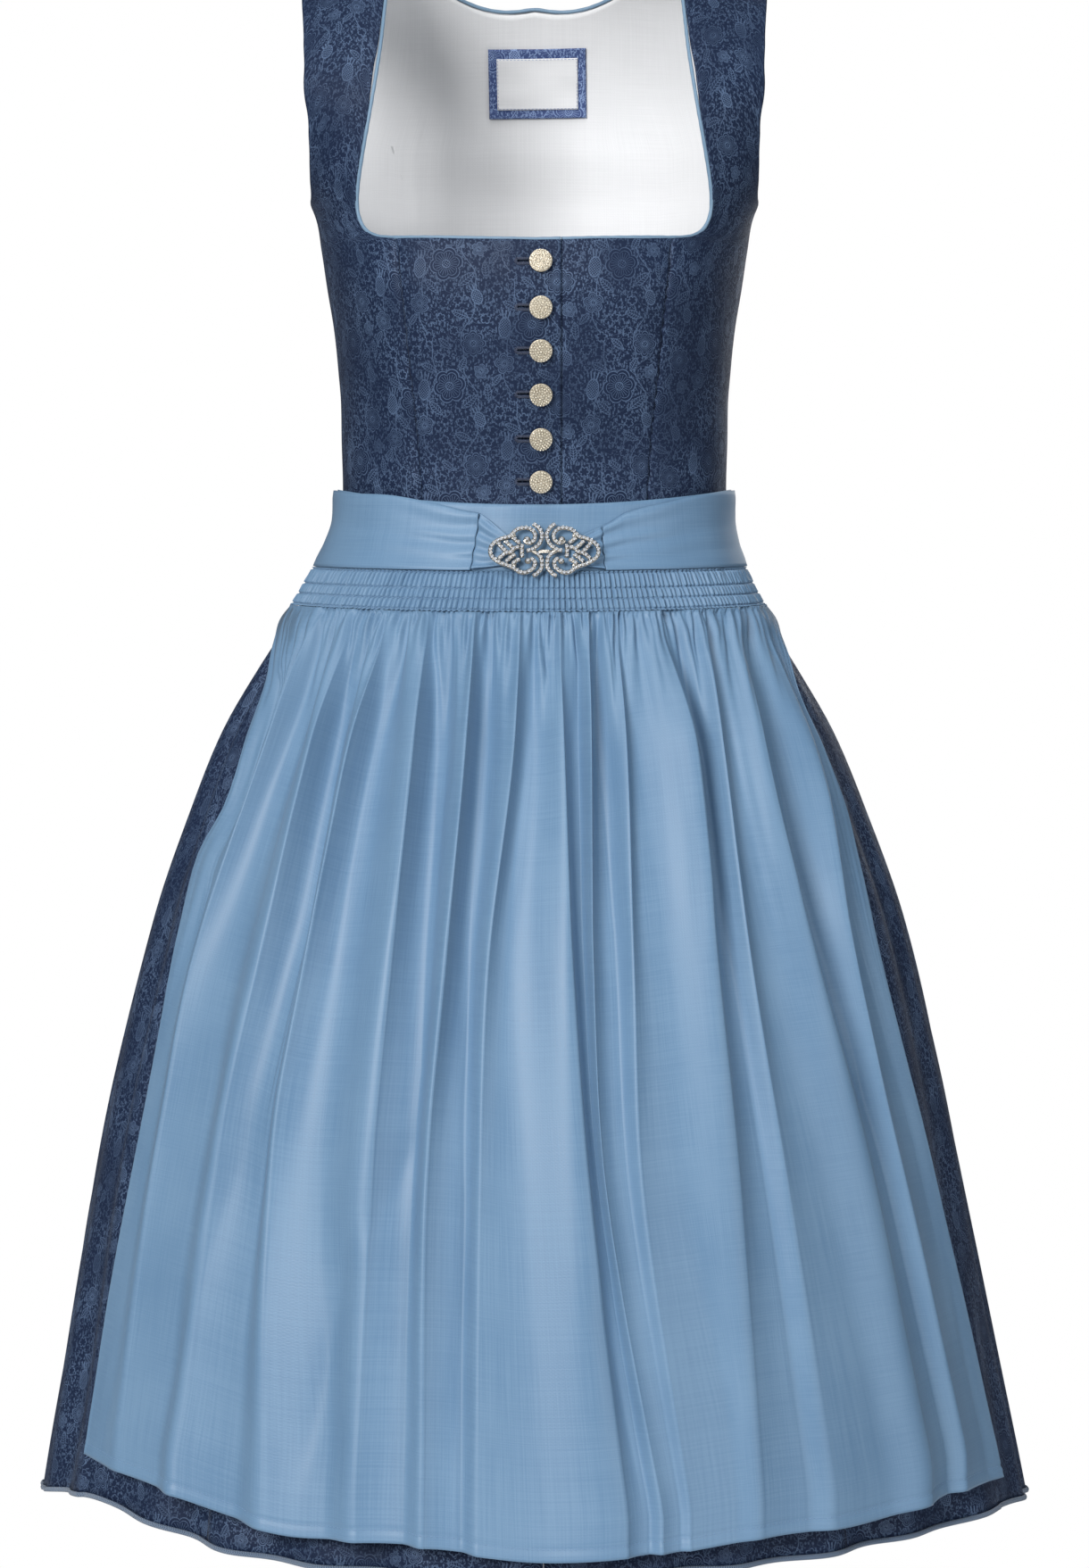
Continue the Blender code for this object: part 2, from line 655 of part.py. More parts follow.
def make_bodice(jacquard, white, border, piping):
    right = cloth("front_right", front_rows(True), BODICE_WALL, jacquard)
    cut_buttonholes(right)
    cloth("front_left", front_rows(False), BODICE_WALL, jacquard)
    for name, side in (("left", 1), ("right", -1)):
        cloth("side_front_" + name, side_front_rows(side), BODICE_WALL, jacquard)
    last = 2 * (SIDE_BACK_COLUMNS + len(BACK_SPREAD))
    seams = (0, SIDE_BACK_COLUMNS, last - SIDE_BACK_COLUMNS, last)
    for name, first, end in zip(("side_back_left", "back", "side_back_right"), seams, seams[1:]):
        cloth(name, back_rows(0.0, first, end), BODICE_WALL, jacquard)
    cloth("back_lining", back_rows(-LINING_DEPTH, 0, last), LINING_WALL, white)
    make_label("label_border", LABEL_BORDER_SIZE, LABEL_DEPTH, border)
    make_label("label", LABEL_SIZE, LABEL_DEPTH + TRIM_WALL + SEAM_GAP, white)
    make_piping(piping)


def cut_buttonholes(front):
    work = bmesh.new()
    for level in BUTTON_LEVELS:
        place = button_frame(level)
        shift = Matrix.Translation((BUTTONHOLE_HEIGHT / 2 - BUTTONHOLE_LENGTH / 2, 0.0, 0.0))
        size = Matrix.Diagonal((BUTTONHOLE_LENGTH, BUTTONHOLE_HEIGHT, CUTTER_DEPTH, 1.0))
        bmesh.ops.create_cube(work, size=1.0, matrix=place @ shift @ size)
    mesh = bpy.data.meshes.new("buttonhole_cutters")
    work.to_mesh(mesh)
    work.free()
    cutters = add_object("buttonhole_cutters", mesh, None, CUTTERS)
    add_boolean(front, "DIFFERENCE", cutters)


def button_frame(level):
    return frame_at(torso, angle_of(read(TORSO, level), BUTTON_X), level, 0.0)


def make_label(name, size, depth, finish):
    # A flat patch on the lining, seen from inside, so its wall grows towards the neck
    rows = []
    for height in (-0.5, 0.0, 0.5):
        row = []
        for width in (0.5, 0.25, 0.0, -0.25, -0.5):
            x = LABEL_X + size[0] * width * cos(LABEL_TURN) - size[1] * height * sin(LABEL_TURN)
            z = LABEL_Z + size[1] * height * cos(LABEL_TURN) + size[0] * width * sin(LABEL_TURN)
            angle, level = front_place(x, z)
            row.append(torso(copysign(pi - abs(angle), x), level, -depth))
        rows.append(row)
    cloth(name, rows, TRIM_WALL, finish)


def neck_path():
    # Angle, level and step out of the neck edge, from the lap round the right strap, the back
    # and the left strap to the left front
    corner = [row for row in SIDE_FRONT if row.inner_z >= NECKLINE_SEAM]
    path = []

    def front_edge(x):
        crown = (NECKLINE_SEAM - NECKLINE_CENTRE) * abs(x) / corner[0].inner_x
        return front_place(x, NECKLINE_CENTRE + crown)

    for x in (LAP_EDGE_X, *LAP_COLUMNS, LAP_FULL_X, LAP_RAMP_X, *PIPING_RIGHT_XS):
        path.append((*front_edge(x), lap_out(x)))
    for row in corner[:-1]:
        angle, level = front_place(row.inner_x, row.inner_z)
        path.append((-angle, level, 0.0))
    back_xs = [share * SIDE_BACK[-1].inner_x for share in BACK_SPREAD[2:]]
    for x in (*(-x for x in back_xs), 0.0, *reversed(back_xs)):
        level = -back_neck(x)
        angle = pi - abs(angle_of(read(TORSO, level), x))
        path.append((-angle if x < 0 else angle, level, 0.0))
    for row in reversed(corner[:-1]):
        path.append((*front_place(row.inner_x, row.inner_z), 0.0))
    for x in (*PIPING_LEFT_XS, PIPING_END_X):
        path.append((*front_edge(x), 0.0))
    return path


def make_piping(finish):
    path = neck_path()
    points = [torso(angle, level, out - BODICE_WALL) for angle, level, out in path]
    centres = []
    for index, (angle, level, out) in enumerate(path):
        ahead = points[min(index + 1, len(points) - 1)] - points[max(index - 1, 0)]
        outwards = frame_at(torso, angle, min(level, BELOW_SHOULDER_SEAM), out).col[2].to_3d()
        off_edge = ahead.cross(outwards).normalized()
        centres.append(points[index] + off_edge * (PIPING_RADIUS + PIPING_CLEARANCE))
    curve = bpy.data.curves.new("neck_piping", "CURVE")
    curve.dimensions = "3D"
    curve.bevel_depth = PIPING_RADIUS
    curve.bevel_resolution = 1
    curve.use_fill_caps = True
    spline = curve.splines.new("POLY")
    spline.points.add(len(centres) - 1)
    for point, centre in zip(spline.points, centres):
        point.co = (*centre, 1.0)
    add_object("neck_piping", curve, finish)


def make_buttons(finish):
    # A dome with a flat back and a shank that passes through the buttonhole
    lift = BODICE_WALL + SEAM_GAP
    under = SEAM_GAP - lift - BUTTON_GAP
    profile = []
    for step in range(DOME_STEPS + 1):
        turn = pi / 2 * step / DOME_STEPS
        height = BUTTON_RIM + (BUTTON_HEIGHT - BUTTON_RIM) * cos(turn)
        profile.append((BUTTON_RADIUS * sin(turn), height))
    profile += [(BUTTON_RADIUS - BUTTON_RIM / 2, 0.0), (SHANK_RADIUS, 0.0)]
    profile += [(SHANK_RADIUS, under), (0.0, under)]
    mesh = bpy.data.meshes.new("button")
    edges = [(index, index + 1) for index in range(len(profile) - 1)]
    mesh.from_pydata([(radius, 0.0, height) for radius, height in profile], edges, [])
    mesh.materials.append(finish)
    for number, level in enumerate(BUTTON_LEVELS, 1):
        button = add_object(f"button_{number}", mesh, None)
        seat = Matrix.Translation((0.0, 0.0, lift + BUTTON_GAP))
        button.matrix_world = button_frame(level) @ seat
        screw = button.modifiers.new("turn", "SCREW")
        screw.steps = TURN_STEPS
        screw.render_steps = TURN_STEPS
        screw.use_merge_vertices = True
        screw.merge_threshold = 0.00001


# Skirt

def apron_edge(level, side):
    edge = read(APRON_EDGES, level)
    return radians(edge.left if side > 0 else edge.right)


def drifted(drift, nominal):
    return drift.size * sin(drift.waves * nominal + drift.phase)


def skirt_point(nominal, level, out=0.0):
    # Nominal is the evenly spaced angle of a column, which the cloth moves a little
    drift = sum(drifted(entry, nominal) for entry in COLUMN_DRIFTS)
    angle = nominal + drift * cos(nominal) ** 2
    stage = read(SKIRT_STAGES, level)
    under = apron_edge(level, angle) - abs(angle) if cos(angle) > 0 else 0.0
    tucked = smooth(under / TUCK_SPAN)
    from_side = asin(min(abs(cos(angle)), 1.0))
    from_seam = min(from_side, pi / 2 - from_side)
    calm = min(CALM_FOLD, stage.fold)
    settle = smooth((from_side - SETTLE_START) / SETTLE_SPAN)
    depth = mix(calm, stage.fold * (1 + drifted(DEPTH_DRIFT, nominal)), settle)
    if tucked > 0:
        depth = mix(calm, min(depth, TUCKED_FOLD), tucked)
    wave = cos(SKIRT_FOLDS * nominal) * depth * smooth(from_seam / CALM_SPAN)
    turned = (angle + pi) % (2 * pi) - pi
    drop = (read(SKIRT_HEM, turned * 180 / pi).level - WAIST) / (HEM - WAIST)
    lowered = WAIST + (level - WAIST) * drop
    return hips(angle, lowered, wave + out - stage.inset - stage.tuck * tucked)


def skirt_rows(first, last, levels, out=0.0):
    # The skirt between two of its columns, which are counted from the centre front
    step = 2 * pi / (SKIRT_FOLDS * COLUMNS_PER_FOLD)
    rows = []
    for level in levels:
        row = [skirt_point(column * step, level, out) for column in range(first, last + 1)]
        open_seams(row)
        rows.append(row)
    return rows


def make_skirt(jacquard, braid):
    quarter = SKIRT_FOLDS * COLUMNS_PER_FOLD // 4
    for name, first, last in SKIRT_PANELS:
        cloth("skirt_" + name, skirt_rows(first, last, SKIRT_LEVELS), SKIRT_WALL, jacquard)
    for name, first in (("front", -quarter), ("back", quarter)):
        out = HEM_BRAID_WALL + SEAM_GAP
        rows = skirt_rows(first, first + 2 * quarter, (HEM, HEM + HEM_BRAID_HEIGHT), out)
        cloth("hem_braid_" + name, rows, HEM_BRAID_WALL, braid)


# Apron

def wrap_angles(start, end):
    # Both ends, and between them each whole step round the body
    first = int(start // WRAP_STEP) + 1
    inner = [step * WRAP_STEP for step in range(first, int(end // WRAP_STEP) + 1)]
    margin = WRAP_STEP / 10
    inner = [angle for angle in inner if start + margin < angle < end - margin]
    return [start, *inner, end]


def band_edge(angle, front, side):
    return mix(front, side, smooth(abs(angle) / (pi / 2)))


def make_band(satin):
    rows = []
    for strip in range(BAND_STRIPS + 1):
        row = []
        for angle in wrap_angles(-BAND_HALF_ANGLE, BAND_HALF_ANGLE):
            bottom = band_edge(angle, BAND_BOTTOM_FRONT, BAND_BOTTOM_SIDE)
            top = band_edge(angle, BAND_TOP_FRONT, BAND_TOP_SIDE)
            row.append(waist(angle, mix(bottom, top, strip / BAND_STRIPS), BAND_OUT))
        rows.append(row)
    cloth("apron_waistband", rows, BAND_WALL, satin)


def tie_seam(side):
    return LEFT_TIE_SEAM if side > 0 else RIGHT_TIE_SEAM


def tie_place(angle, side):
    # Top and bottom level of a tie, and its layer, at an angle from the centre front
    station = read(TIE, angle * 180 / pi)
    if side > 0:
        return station.left_top, station.bottom, station.left_high
    return station.right_top, station.bottom, station.right_high


def make_tie(name, side, satin):
    angles = wrap_angles(tie_seam(side), TIE_END)
    rows = []
    for strip in range(TIE_STRIPS + 1):
        row = []
        for angle in angles:
            top, bottom, high = tie_place(angle, side)
            level = mix(bottom, top, strip / TIE_STRIPS)
            row.append(waist(side * angle, level, mix(BAND_OUT, TIE_OUT, high)))
        rows.append(row[::side])
    cloth(name, rows, BAND_WALL, satin)


def make_gathers(satin):
    # Tucks side by side in the outer points, over a plain inside
    columns = 2 * TUCKS
    outer, inner = [], []
    for low in (True, False):
        outer_row, inner_row = [], []
        for column in range(columns + 1):
            angle = mix(-GATHERS_HALF_ANGLE, GATHERS_HALF_ANGLE, column / columns)
            base = GATHERS_INNER_BOTTOM if low else GATHERS_INNER_TOP
            if low:
                level = band_edge(angle, GATHERS_BOTTOM_FRONT, GATHERS_BOTTOM_SIDE)
            else:
                level = band_edge(angle, BAND_BOTTOM_FRONT, BAND_BOTTOM_SIDE) - GATHERS_TOP_GAP
            tuck = TUCK_HEIGHT * (column % 2)
            inner_row.append(hips(angle, level, base))
            outer_row.append(hips(angle, level, base + GATHERS_WALL + tuck))
        outer.append(outer_row)
        inner.append(inner_row)
    shell("apron_gathers", outer, inner, satin)


def shell(name, outer, inner, finish):
    # A closed wall between two unlike sheets that have the same columns and rows
    work = bmesh.new()
    faces = [[[work.verts.new(point) for point in row] for row in rows] for rows in (outer, inner)]
    for sheet, flip in zip(faces, (1, -1)):
        for low, high in zip(sheet, sheet[1:]):
            for corners in zip(low, low[1:], high[1:], high):
                work.faces.new(corners[::flip])
    front, back = faces
    rims = ((front[0][::-1], back[0][::-1]), (front[-1], back[-1]))
    rims += (([row[0] for row in front], [row[0] for row in back]),)
    rims += (([row[-1] for row in front][::-1], [row[-1] for row in back][::-1]),)
    for near, far in rims:
        for corners in zip(near, near[1:], far[1:], far):
            work.faces.new(corners)
    bmesh.ops.recalc_face_normals(work, faces=work.faces)
    mesh = bpy.data.meshes.new(name)
    work.to_mesh(mesh)
    work.free()
    return add_object(name, mesh, finish)


def fold_x(fold, level):
    places = list(zip(FOLD_LEVELS, fold[:len(FOLD_LEVELS)]))
    return read_pair(places[::-1], level)


def apron_columns(level, drop):
    # Angle and fold height of each column at a level. Drop runs from 0 at the top to 1 at the hem.
    section = read(SKIRT, level)
    edges = [-apron_edge(level, -1)]
    for fold in APRON_FOLDS:
        edges.append(angle_of(section, fold_x(fold, level), APRON_OUT + fold.depth / 2))
    edges.append(apron_edge(level, 1))
    growth = mix(TOP_FOLD, 1.0, smooth(drop / GROWTH_SHARE))
    depths = [0.0] + [fold.depth * growth * mix(1.0, fold.fade, drop) for fold in APRON_FOLDS]
    depths.append(0.0)
    columns = []
    for start, end, own, following in zip(edges, edges[1:], depths, depths[1:]):
        for column in FOLD_COLUMNS:
            angle = mix(start, end, mix(column.share_top, column.share_hem, drop))
            inside = min(angle - edges[0], edges[-1] - angle) / EDGE_EASE
            height = own * column.own + following * column.next
            columns.append((angle, height * mix(EDGE_FOLD, 1.0, smooth(inside))))
    columns.append((edges[-1], 0.0))
    return columns


def make_apron(satin):
    rows = []
    for share in APRON_LEVELS:
        row = []
        guess = mix(GATHERS_BOTTOM_FRONT, read(APRON_HEM, 0.0).level, share)
        for angle, height in apron_columns(guess, share):
            top = band_edge(angle, GATHERS_BOTTOM_FRONT, GATHERS_BOTTOM_SIDE) - SEAM_GAP
            bottom = read(APRON_HEM, angle * 180 / pi).level
            row.append(hips(angle, mix(top, bottom, share), APRON_OUT + height))
        rows.append(row)
    cloth("apron_panel", rows, APRON_WALL, satin)


# Clasp and its loops

def clasp_frame():
    angle = angle_of(read(BAND, CLASP_Z), CLASP_X)
    return frame_at(waist, angle, CLASP_Z, BAND_OUT)


def smooth_loop(points, steps):
    # A closed curve through the points
    count = len(points)
    curve = []
    for index in range(count):
        before, start, end, beyond = (Vector(points[(index + k) % count]) for k in (-1, 0, 1, 2))
        for step in range(steps):
            part = step / steps
            bend = (2 * before - 5 * start + 4 * end - beyond) * part ** 2
            twist = (3 * start - before - 3 * end + beyond) * part ** 3
            curve.append((2 * start + (end - before) * part + bend + twist) / 2)
    return curve


def plate_mesh(side):
    # The pierced plate of one half, flat in its own plane
    outline = smooth_loop(CLASP_OUTLINE, 3)
    loops = [[(x + CLASP_GAP / MILLIMETRE / 2, y) for x, y in outline]]
    for x, y, radius in CLASP_HOLES:
        turns = [2 * pi * step / TURN_STEPS for step in range(TURN_STEPS)]
        loops.append([(x + radius * cos(turn), y + radius * sin(turn)) for turn in turns])
    curve = bpy.data.curves.new("clasp_outline", "CURVE")
    curve.dimensions = "2D"
    curve.fill_mode = "BOTH"
    curve.extrude = CLASP_THICKNESS / 2
    for loop in loops:
        spline = curve.splines.new("POLY")
        spline.points.add(len(loop) - 1)
        spline.use_cyclic_u = True
        for point, (x, y) in zip(spline.points, loop):
            point.co = (side * x * MILLIMETRE, y * MILLIMETRE, 0.0, 1.0)
    item = add_object("clasp_outline", curve, None)
    height = CLASP_STAND_OFF + CLASP_THICKNESS / 2
    item.matrix_world = clasp_frame() @ Matrix.Translation((0.0, 0.0, height))
    bpy.context.view_layer.update()
    return welded_mesh(item)


def make_clasp(name, side, silver):
    clasp = add_object(name, plate_mesh(side), silver)
    frame = clasp_frame()
    top = CLASP_STAND_OFF + CLASP_THICKNESS / 2
    bar_size = (BAR_WIDTH, 2 * BAR_HALF_LENGTH, BAR_THICKNESS)
    pieces = [("bar", bar_size, (side * BAR_X, 0.0, BAR_DEPTH))]
    post_size = (BAR_WIDTH - 2 * POST_INSET, POST_THICKNESS, top - BAR_DEPTH)
    for word, end in (("upper_post", 1), ("lower_post", -1)):
        y = end * (BAR_HALF_LENGTH - POST_THICKNESS / 2 - POST_INSET)
        pieces.append((word, post_size, (side * BAR_X, y, (top + BAR_DEPTH) / 2)))
    if side > 0:
        y = CLASP_OUTLINE[-2][1] * MILLIMETRE
        depth = CLASP_STAND_OFF - TONGUE_GAP - TONGUE_SIZE[2] / 2
        pieces.append(("tongue", TONGUE_SIZE, (TONGUE_X, y, depth)))
        x = TONGUE_X + TONGUE_SIZE[0] / 2 - RISER_SIZE[0] / 2 - POST_INSET
        pieces.append(("riser", RISER_SIZE, (x, y, CLASP_STAND_OFF)))
    for word, size, centre in pieces:
        mesh = box_mesh(f"{name}_{word}", size, frame @ Matrix.Translation(centre))
        add_boolean(clasp, "UNION", add_object(f"{name}_{word}", mesh, None, CUTTERS))


def make_loop(name, side, satin):
    # The tie's end, gathered, from its seam to the bar and round it
    frame = clasp_frame()
    seam = tie_seam(side)
    top, bottom, _ = tie_place(seam, side)
    reach = BAR_WIDTH / 2 + SEAM_GAP + LOOP_WALL
    clear = BAR_THICKNESS / 2 + LOOP_EASE + LOOP_WALL
    rows = []
    for up in (0.0, 0.5, 1.0):
        level = mix(bottom + SEAM_GAP, top - SEAM_GAP, up)
        start = waist(side * seam, level, TIE_OUT)
        start.x -= side * SEAM_GAP
        y = mix(-LOOP_HALF_HEIGHT_AT_BAR, LOOP_HALF_HEIGHT_AT_BAR, up)
        route = [
            (BAR_X + BAR_WIDTH / 2, clear), (BAR_X - BAR_WIDTH / 2, clear),
            (BAR_X - reach, clear * LOOP_TURN), (BAR_X - reach, -clear * LOOP_TURN),
            (BAR_X - BAR_WIDTH / 2, -clear), (BAR_X + BAR_WIDTH / 2 + LOOP_TAIL, -clear),
        ]
        near = [frame @ Vector((side * x, y, BAR_DEPTH + rise)) for x, rise in route]
        way = [start, *(start.lerp(near[0], part) for part in LOOP_STATIONS), *near]
        rows.append(way[::-side])
    cloth(name, rows, LOOP_WALL, satin)


def build():
    start_scene()
    jacquard = material("navy_jacquard", (0.016, 0.028, 0.078), 0.62)
    satin = material("blue_satin", (0.20, 0.36, 0.54), 0.42)
    piping = material("blue_piping", (0.34, 0.50, 0.66), 0.45)
    white = material("white_lining", (0.82, 0.83, 0.85), 0.75)
    border = material("label_border", (0.06, 0.10, 0.25), 0.7)
    braid = material("blue_braid", (0.22, 0.32, 0.47), 0.7)
    silver = material("antique_silver", (0.62, 0.60, 0.55), 0.35, 1.0)
    champagne = material("champagne_metal", (0.80, 0.72, 0.55), 0.4, 1.0)
    make_bodice(jacquard, white, border, piping)
    make_buttons(champagne)
    make_skirt(jacquard, braid)
    make_band(satin)
    make_gathers(satin)
    make_apron(satin)
    for name, side in (("left", 1), ("right", -1)):
        make_tie("tie_" + name, side, satin)
        make_loop("tie_loop_" + name, side, satin)
        make_clasp("clasp_" + name, side, silver)


build()
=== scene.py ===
from functools import partial, reduce
from math import cos, pi, radians, sin, sqrt

import bmesh
import bpy
import numpy as np
from mathutils import Matrix, Vector


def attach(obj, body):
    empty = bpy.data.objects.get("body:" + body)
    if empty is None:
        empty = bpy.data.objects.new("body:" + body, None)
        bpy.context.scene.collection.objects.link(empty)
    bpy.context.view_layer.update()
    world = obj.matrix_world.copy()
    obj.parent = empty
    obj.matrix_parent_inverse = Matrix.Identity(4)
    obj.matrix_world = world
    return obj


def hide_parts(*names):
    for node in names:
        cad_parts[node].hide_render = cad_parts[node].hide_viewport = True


# Dirndl: a sleeveless bodice, a gathered skirt and an apron with ties and a clasp, as worn.
# Metres, +Z up. The garment faces -Y, and left and right are the wearer's, so left is +X.

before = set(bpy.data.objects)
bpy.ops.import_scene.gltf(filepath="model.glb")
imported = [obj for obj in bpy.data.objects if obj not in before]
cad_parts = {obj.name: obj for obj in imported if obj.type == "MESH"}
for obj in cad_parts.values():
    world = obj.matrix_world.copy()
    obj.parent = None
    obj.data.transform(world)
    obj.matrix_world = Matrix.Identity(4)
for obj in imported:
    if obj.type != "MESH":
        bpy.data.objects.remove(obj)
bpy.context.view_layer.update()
print("frame loaded")

# Levels and widths that more than one piece uses
waistLevel = -0.345
hemLevel = -0.975
rollStart = -0.1
shoulderAtNeck = 0.0112
shoulderSlope = 0.3
neckHalfWidth = 0.0935
seamGap = 0.0005
bust = {"lift": 0.006, "level": -0.205, "height": 0.04, "x": 0.082, "width": 0.035}

# Rings of the garment: level, half width, front, back, sway, shift and squareness
torsoRings = (
    (-0.345, 0.1235, 0.094, 0.082, -0.001, 0.0, 2.3),
    (-0.3, 0.1237, 0.103, 0.086, 0.0, 0.0, 2.3),
    (-0.27, 0.124, 0.112, 0.089, 0.0, 0.0, 2.3),
    (-0.25, 0.126, 0.117, 0.093, 0.0, 0.0, 2.3),
    (-0.22, 0.1295, 0.123, 0.098, 0.0, 0.0, 2.3),
    (-0.195, 0.1335, 0.125, 0.102, 0.0, 0.0, 2.3),
    (-0.172, 0.137, 0.122, 0.104, 0.0, 0.0, 2.3),
    (-0.15, 0.1405, 0.118, 0.105, 0.0, 0.0, 2.3),
    (-0.13, 0.15, 0.114, 0.105, 0.0, 0.0, 2.3),
    (-0.1, 0.165, 0.108, 0.1, 0.0, 0.0, 2.3),
    (-0.076, 0.188, 0.1, 0.096, 0.002, 0.0, 2.3),
    (-0.04, 0.195, 0.094, 0.09, 0.0055, 0.0, 2.3),
    (0.0, 0.2, 0.09, 0.086, 0.008, 0.0, 2.3),
)
skirtRings = (
    (-0.98, 0.3205, 0.272, 0.269, -0.001, -0.0008, 1.85),
    (-0.9, 0.305, 0.258, 0.255, -0.002, -0.002, 1.9),
    (-0.8, 0.2868, 0.24, 0.237, -0.0035, -0.004, 1.95),
    (-0.7, 0.2667, 0.22, 0.217, -0.0045, -0.004, 2.0),
    (-0.6, 0.2417, 0.195, 0.191, -0.004, -0.004, 2.1),
    (-0.53, 0.2165, 0.173, 0.168, -0.004, -0.004, 2.15),
    (-0.48, 0.196, 0.153, 0.147, -0.004, -0.004, 2.2),
    (-0.44, 0.1732, 0.135, 0.128, -0.004, -0.004, 2.25),
    (-0.405, 0.151, 0.118, 0.11, -0.003, -0.0038, 2.28),
    (-0.375, 0.1352, 0.104, 0.094, -0.002, -0.0028, 2.3),
    (-0.345, 0.1235, 0.094, 0.082, -0.001, -0.0008, 2.3),
)
bandRings = (
    (-0.38, 0.1372, 0.1062, 0.0965, -0.002, -0.003, 2.3),
    (-0.369, 0.132, 0.1012, 0.0908, -0.0018, -0.0025, 2.3),
    (-0.358, 0.1275, 0.0977, 0.0866, -0.0015, -0.0018, 2.3),
    (-0.345, 0.1243, 0.0957, 0.084, -0.001, -0.0008, 2.3),
    (-0.325, 0.1237, 0.0966, 0.0842, -0.0004, -0.0002, 2.3),
)
# Side fronts: x and z of the seam to the front and then of the neck, x and z of the side seam and
# then of the armhole. A 1 for x is the side seam, and a 1 for z the top of the shoulder.
sideFrontRows = (
    (0.07, waistLevel, 1, waistLevel),
    (0.0713, -0.32, 1, -0.3195),
    (0.0731, -0.295, 1, -0.294),
    (0.0754, -0.27, 1, -0.268),
    (0.0783, -0.245, 1, -0.242),
    (0.0808, -0.22, 1, -0.216),
    (0.0832, -0.195, 1, -0.191),
    (0.0868, -0.1706, 1, -0.169),
    (0.099, -0.1692, 1, -0.1475),
    (0.1075, -0.164, 0.1415, -0.139),
    (0.1122, -0.153, 0.1416, -0.129),
    (0.1121, -0.138, 0.1419, -0.117),
    (0.1092, -0.119, 0.1425, -0.103),
    (0.1052, -0.097, 0.1434, -0.086),
    (0.101, -0.072, 0.1447, -0.064),
    (0.0977, -0.048, 0.146, -0.043),
    (0.0957, -0.024, 0.147, -0.0275),
    (0.0944, -0.006, 0.1478, -0.0185),
    (0.0937, 0.006, 0.1484, -0.0115),
    (neckHalfWidth, 1, 0.149, 1),
)
# Side backs: x and z of the seam to the back, and of the side seam and then of the armhole
sideBackRows = (
    (0.05, waistLevel, 1, waistLevel),
    (0.054, -0.3, 1, -0.295),
    (0.061, -0.25, 1, -0.245),
    (0.069, -0.205, 1, -0.198),
    (0.076, -0.174, 1, -0.166),
    (0.081, -0.152, 1, -0.1475),
    (0.085, -0.135, 0.143, -0.134),
    (0.0905, -0.114, 0.1442, -0.115),
    (0.0965, -0.092, 0.1453, -0.095),
    (0.103, -0.068, 0.1463, -0.074),
    (0.109, -0.044, 0.1471, -0.054),
    (0.114, -0.024, 0.1478, -0.038),
    (0.118, -0.009, 0.1484, -0.025),
    (0.1205, -0.001, 0.1488, -0.015),
    (0.122, 1, 0.149, 1),
)
# Skirt: level, depth of its folds, and how far it is drawn in, everywhere and under the apron
skirtStages = (
    (-0.975, 0.011, 0.0, 0.017),
    (-0.8, 0.01, 0.0, 0.017),
    (-0.66, 0.008, 0.0, 0.016),
    (-0.53, 0.0055, 0.0, 0.014),
    (-0.45, 0.003, 0.0, 0.006),
    (-0.402, 0.002, 0.0, 0.0),
    (-0.377, 0.0016, 0.0006, 0.0),
    (-0.345, 0.0012, 0.001, 0.0),
)
# Skirt: degrees from the front towards the left, and level of the hem
skirtHem = (
    (-180.0, hemLevel),
    (-115.0, hemLevel),
    (-90.0, -0.9745),
    (-62.0, -0.9573),
    (-52.0, -0.965),
    (-37.0, -0.977),
    (0.0, -0.9785),
    (37.0, -0.9775),
    (57.0, -0.973),
    (68.0, -0.9705),
    (90.0, -0.976),
    (115.0, hemLevel),
    (180.0, hemLevel),
)
# Ties: degrees from the front, level of the left and of the right tie's upper edge and of both
# lower edges, and whether the left and the right tie lies outside (1) or on the waistband (0)
tieStations = (
    (12.0, -0.35, -0.341, -0.3764, 1.0, 1.0),
    (17.0, -0.3486, -0.339, -0.3764, 1.0, 1.0),
    (24.0, -0.3405, -0.3355, -0.3762, 1.0, 1.0),
    (40.0, -0.3333, -0.33, -0.3758, 1.0, 1.0),
    (57.0, -0.3284, -0.3284, -0.375, 1.0, 1.0),
    (90.0, -0.3256, -0.3256, -0.374, 1.0, 1.0),
    (115.0, -0.3258, -0.3258, -0.3715, 1.0, 1.0),
    (140.0, -0.3262, -0.3262, -0.35, 1.0, 1.0),
    (150.0, -0.3265, -0.3265, -0.3472, 1.0, 0.5),
    (160.0, -0.3275, -0.3275, -0.349, 1.0, 0.0),
    (180.0, -0.339, -0.339, -0.362, 1.0, 0.0),
    (200.0, -0.352, -0.352, -0.3735, 1.0, 0.0),
    (210.0, -0.3535, -0.3535, -0.3737, 0.5, 0.0),
    (220.0, -0.351, -0.351, -0.3737, 0.0, 0.0),
    (245.0, -0.333, -0.333, -0.3737, 0.0, 0.0),
    (262.5, -0.329, -0.329, -0.3738, 0.0, 0.0),
)
# Apron: level, and degrees from the front to its right and to its left edge
apronEdges = (
    (-0.945, 63.3, 69.0),
    (-0.87, 62.5, 67.8),
    (-0.77, 61.0, 64.7),
    (-0.685, 60.8, 61.8),
    (-0.61, 60.3, 60.7),
    (-0.565, 62.0, 62.2),
    (-0.532, 57.5, 64.3),
    (-0.495, 57.8, 64.3),
    (-0.455, 62.5, 65.2),
    (-0.425, 77.0, 76.0),
    (-0.4025, 94.0, 94.0),
)
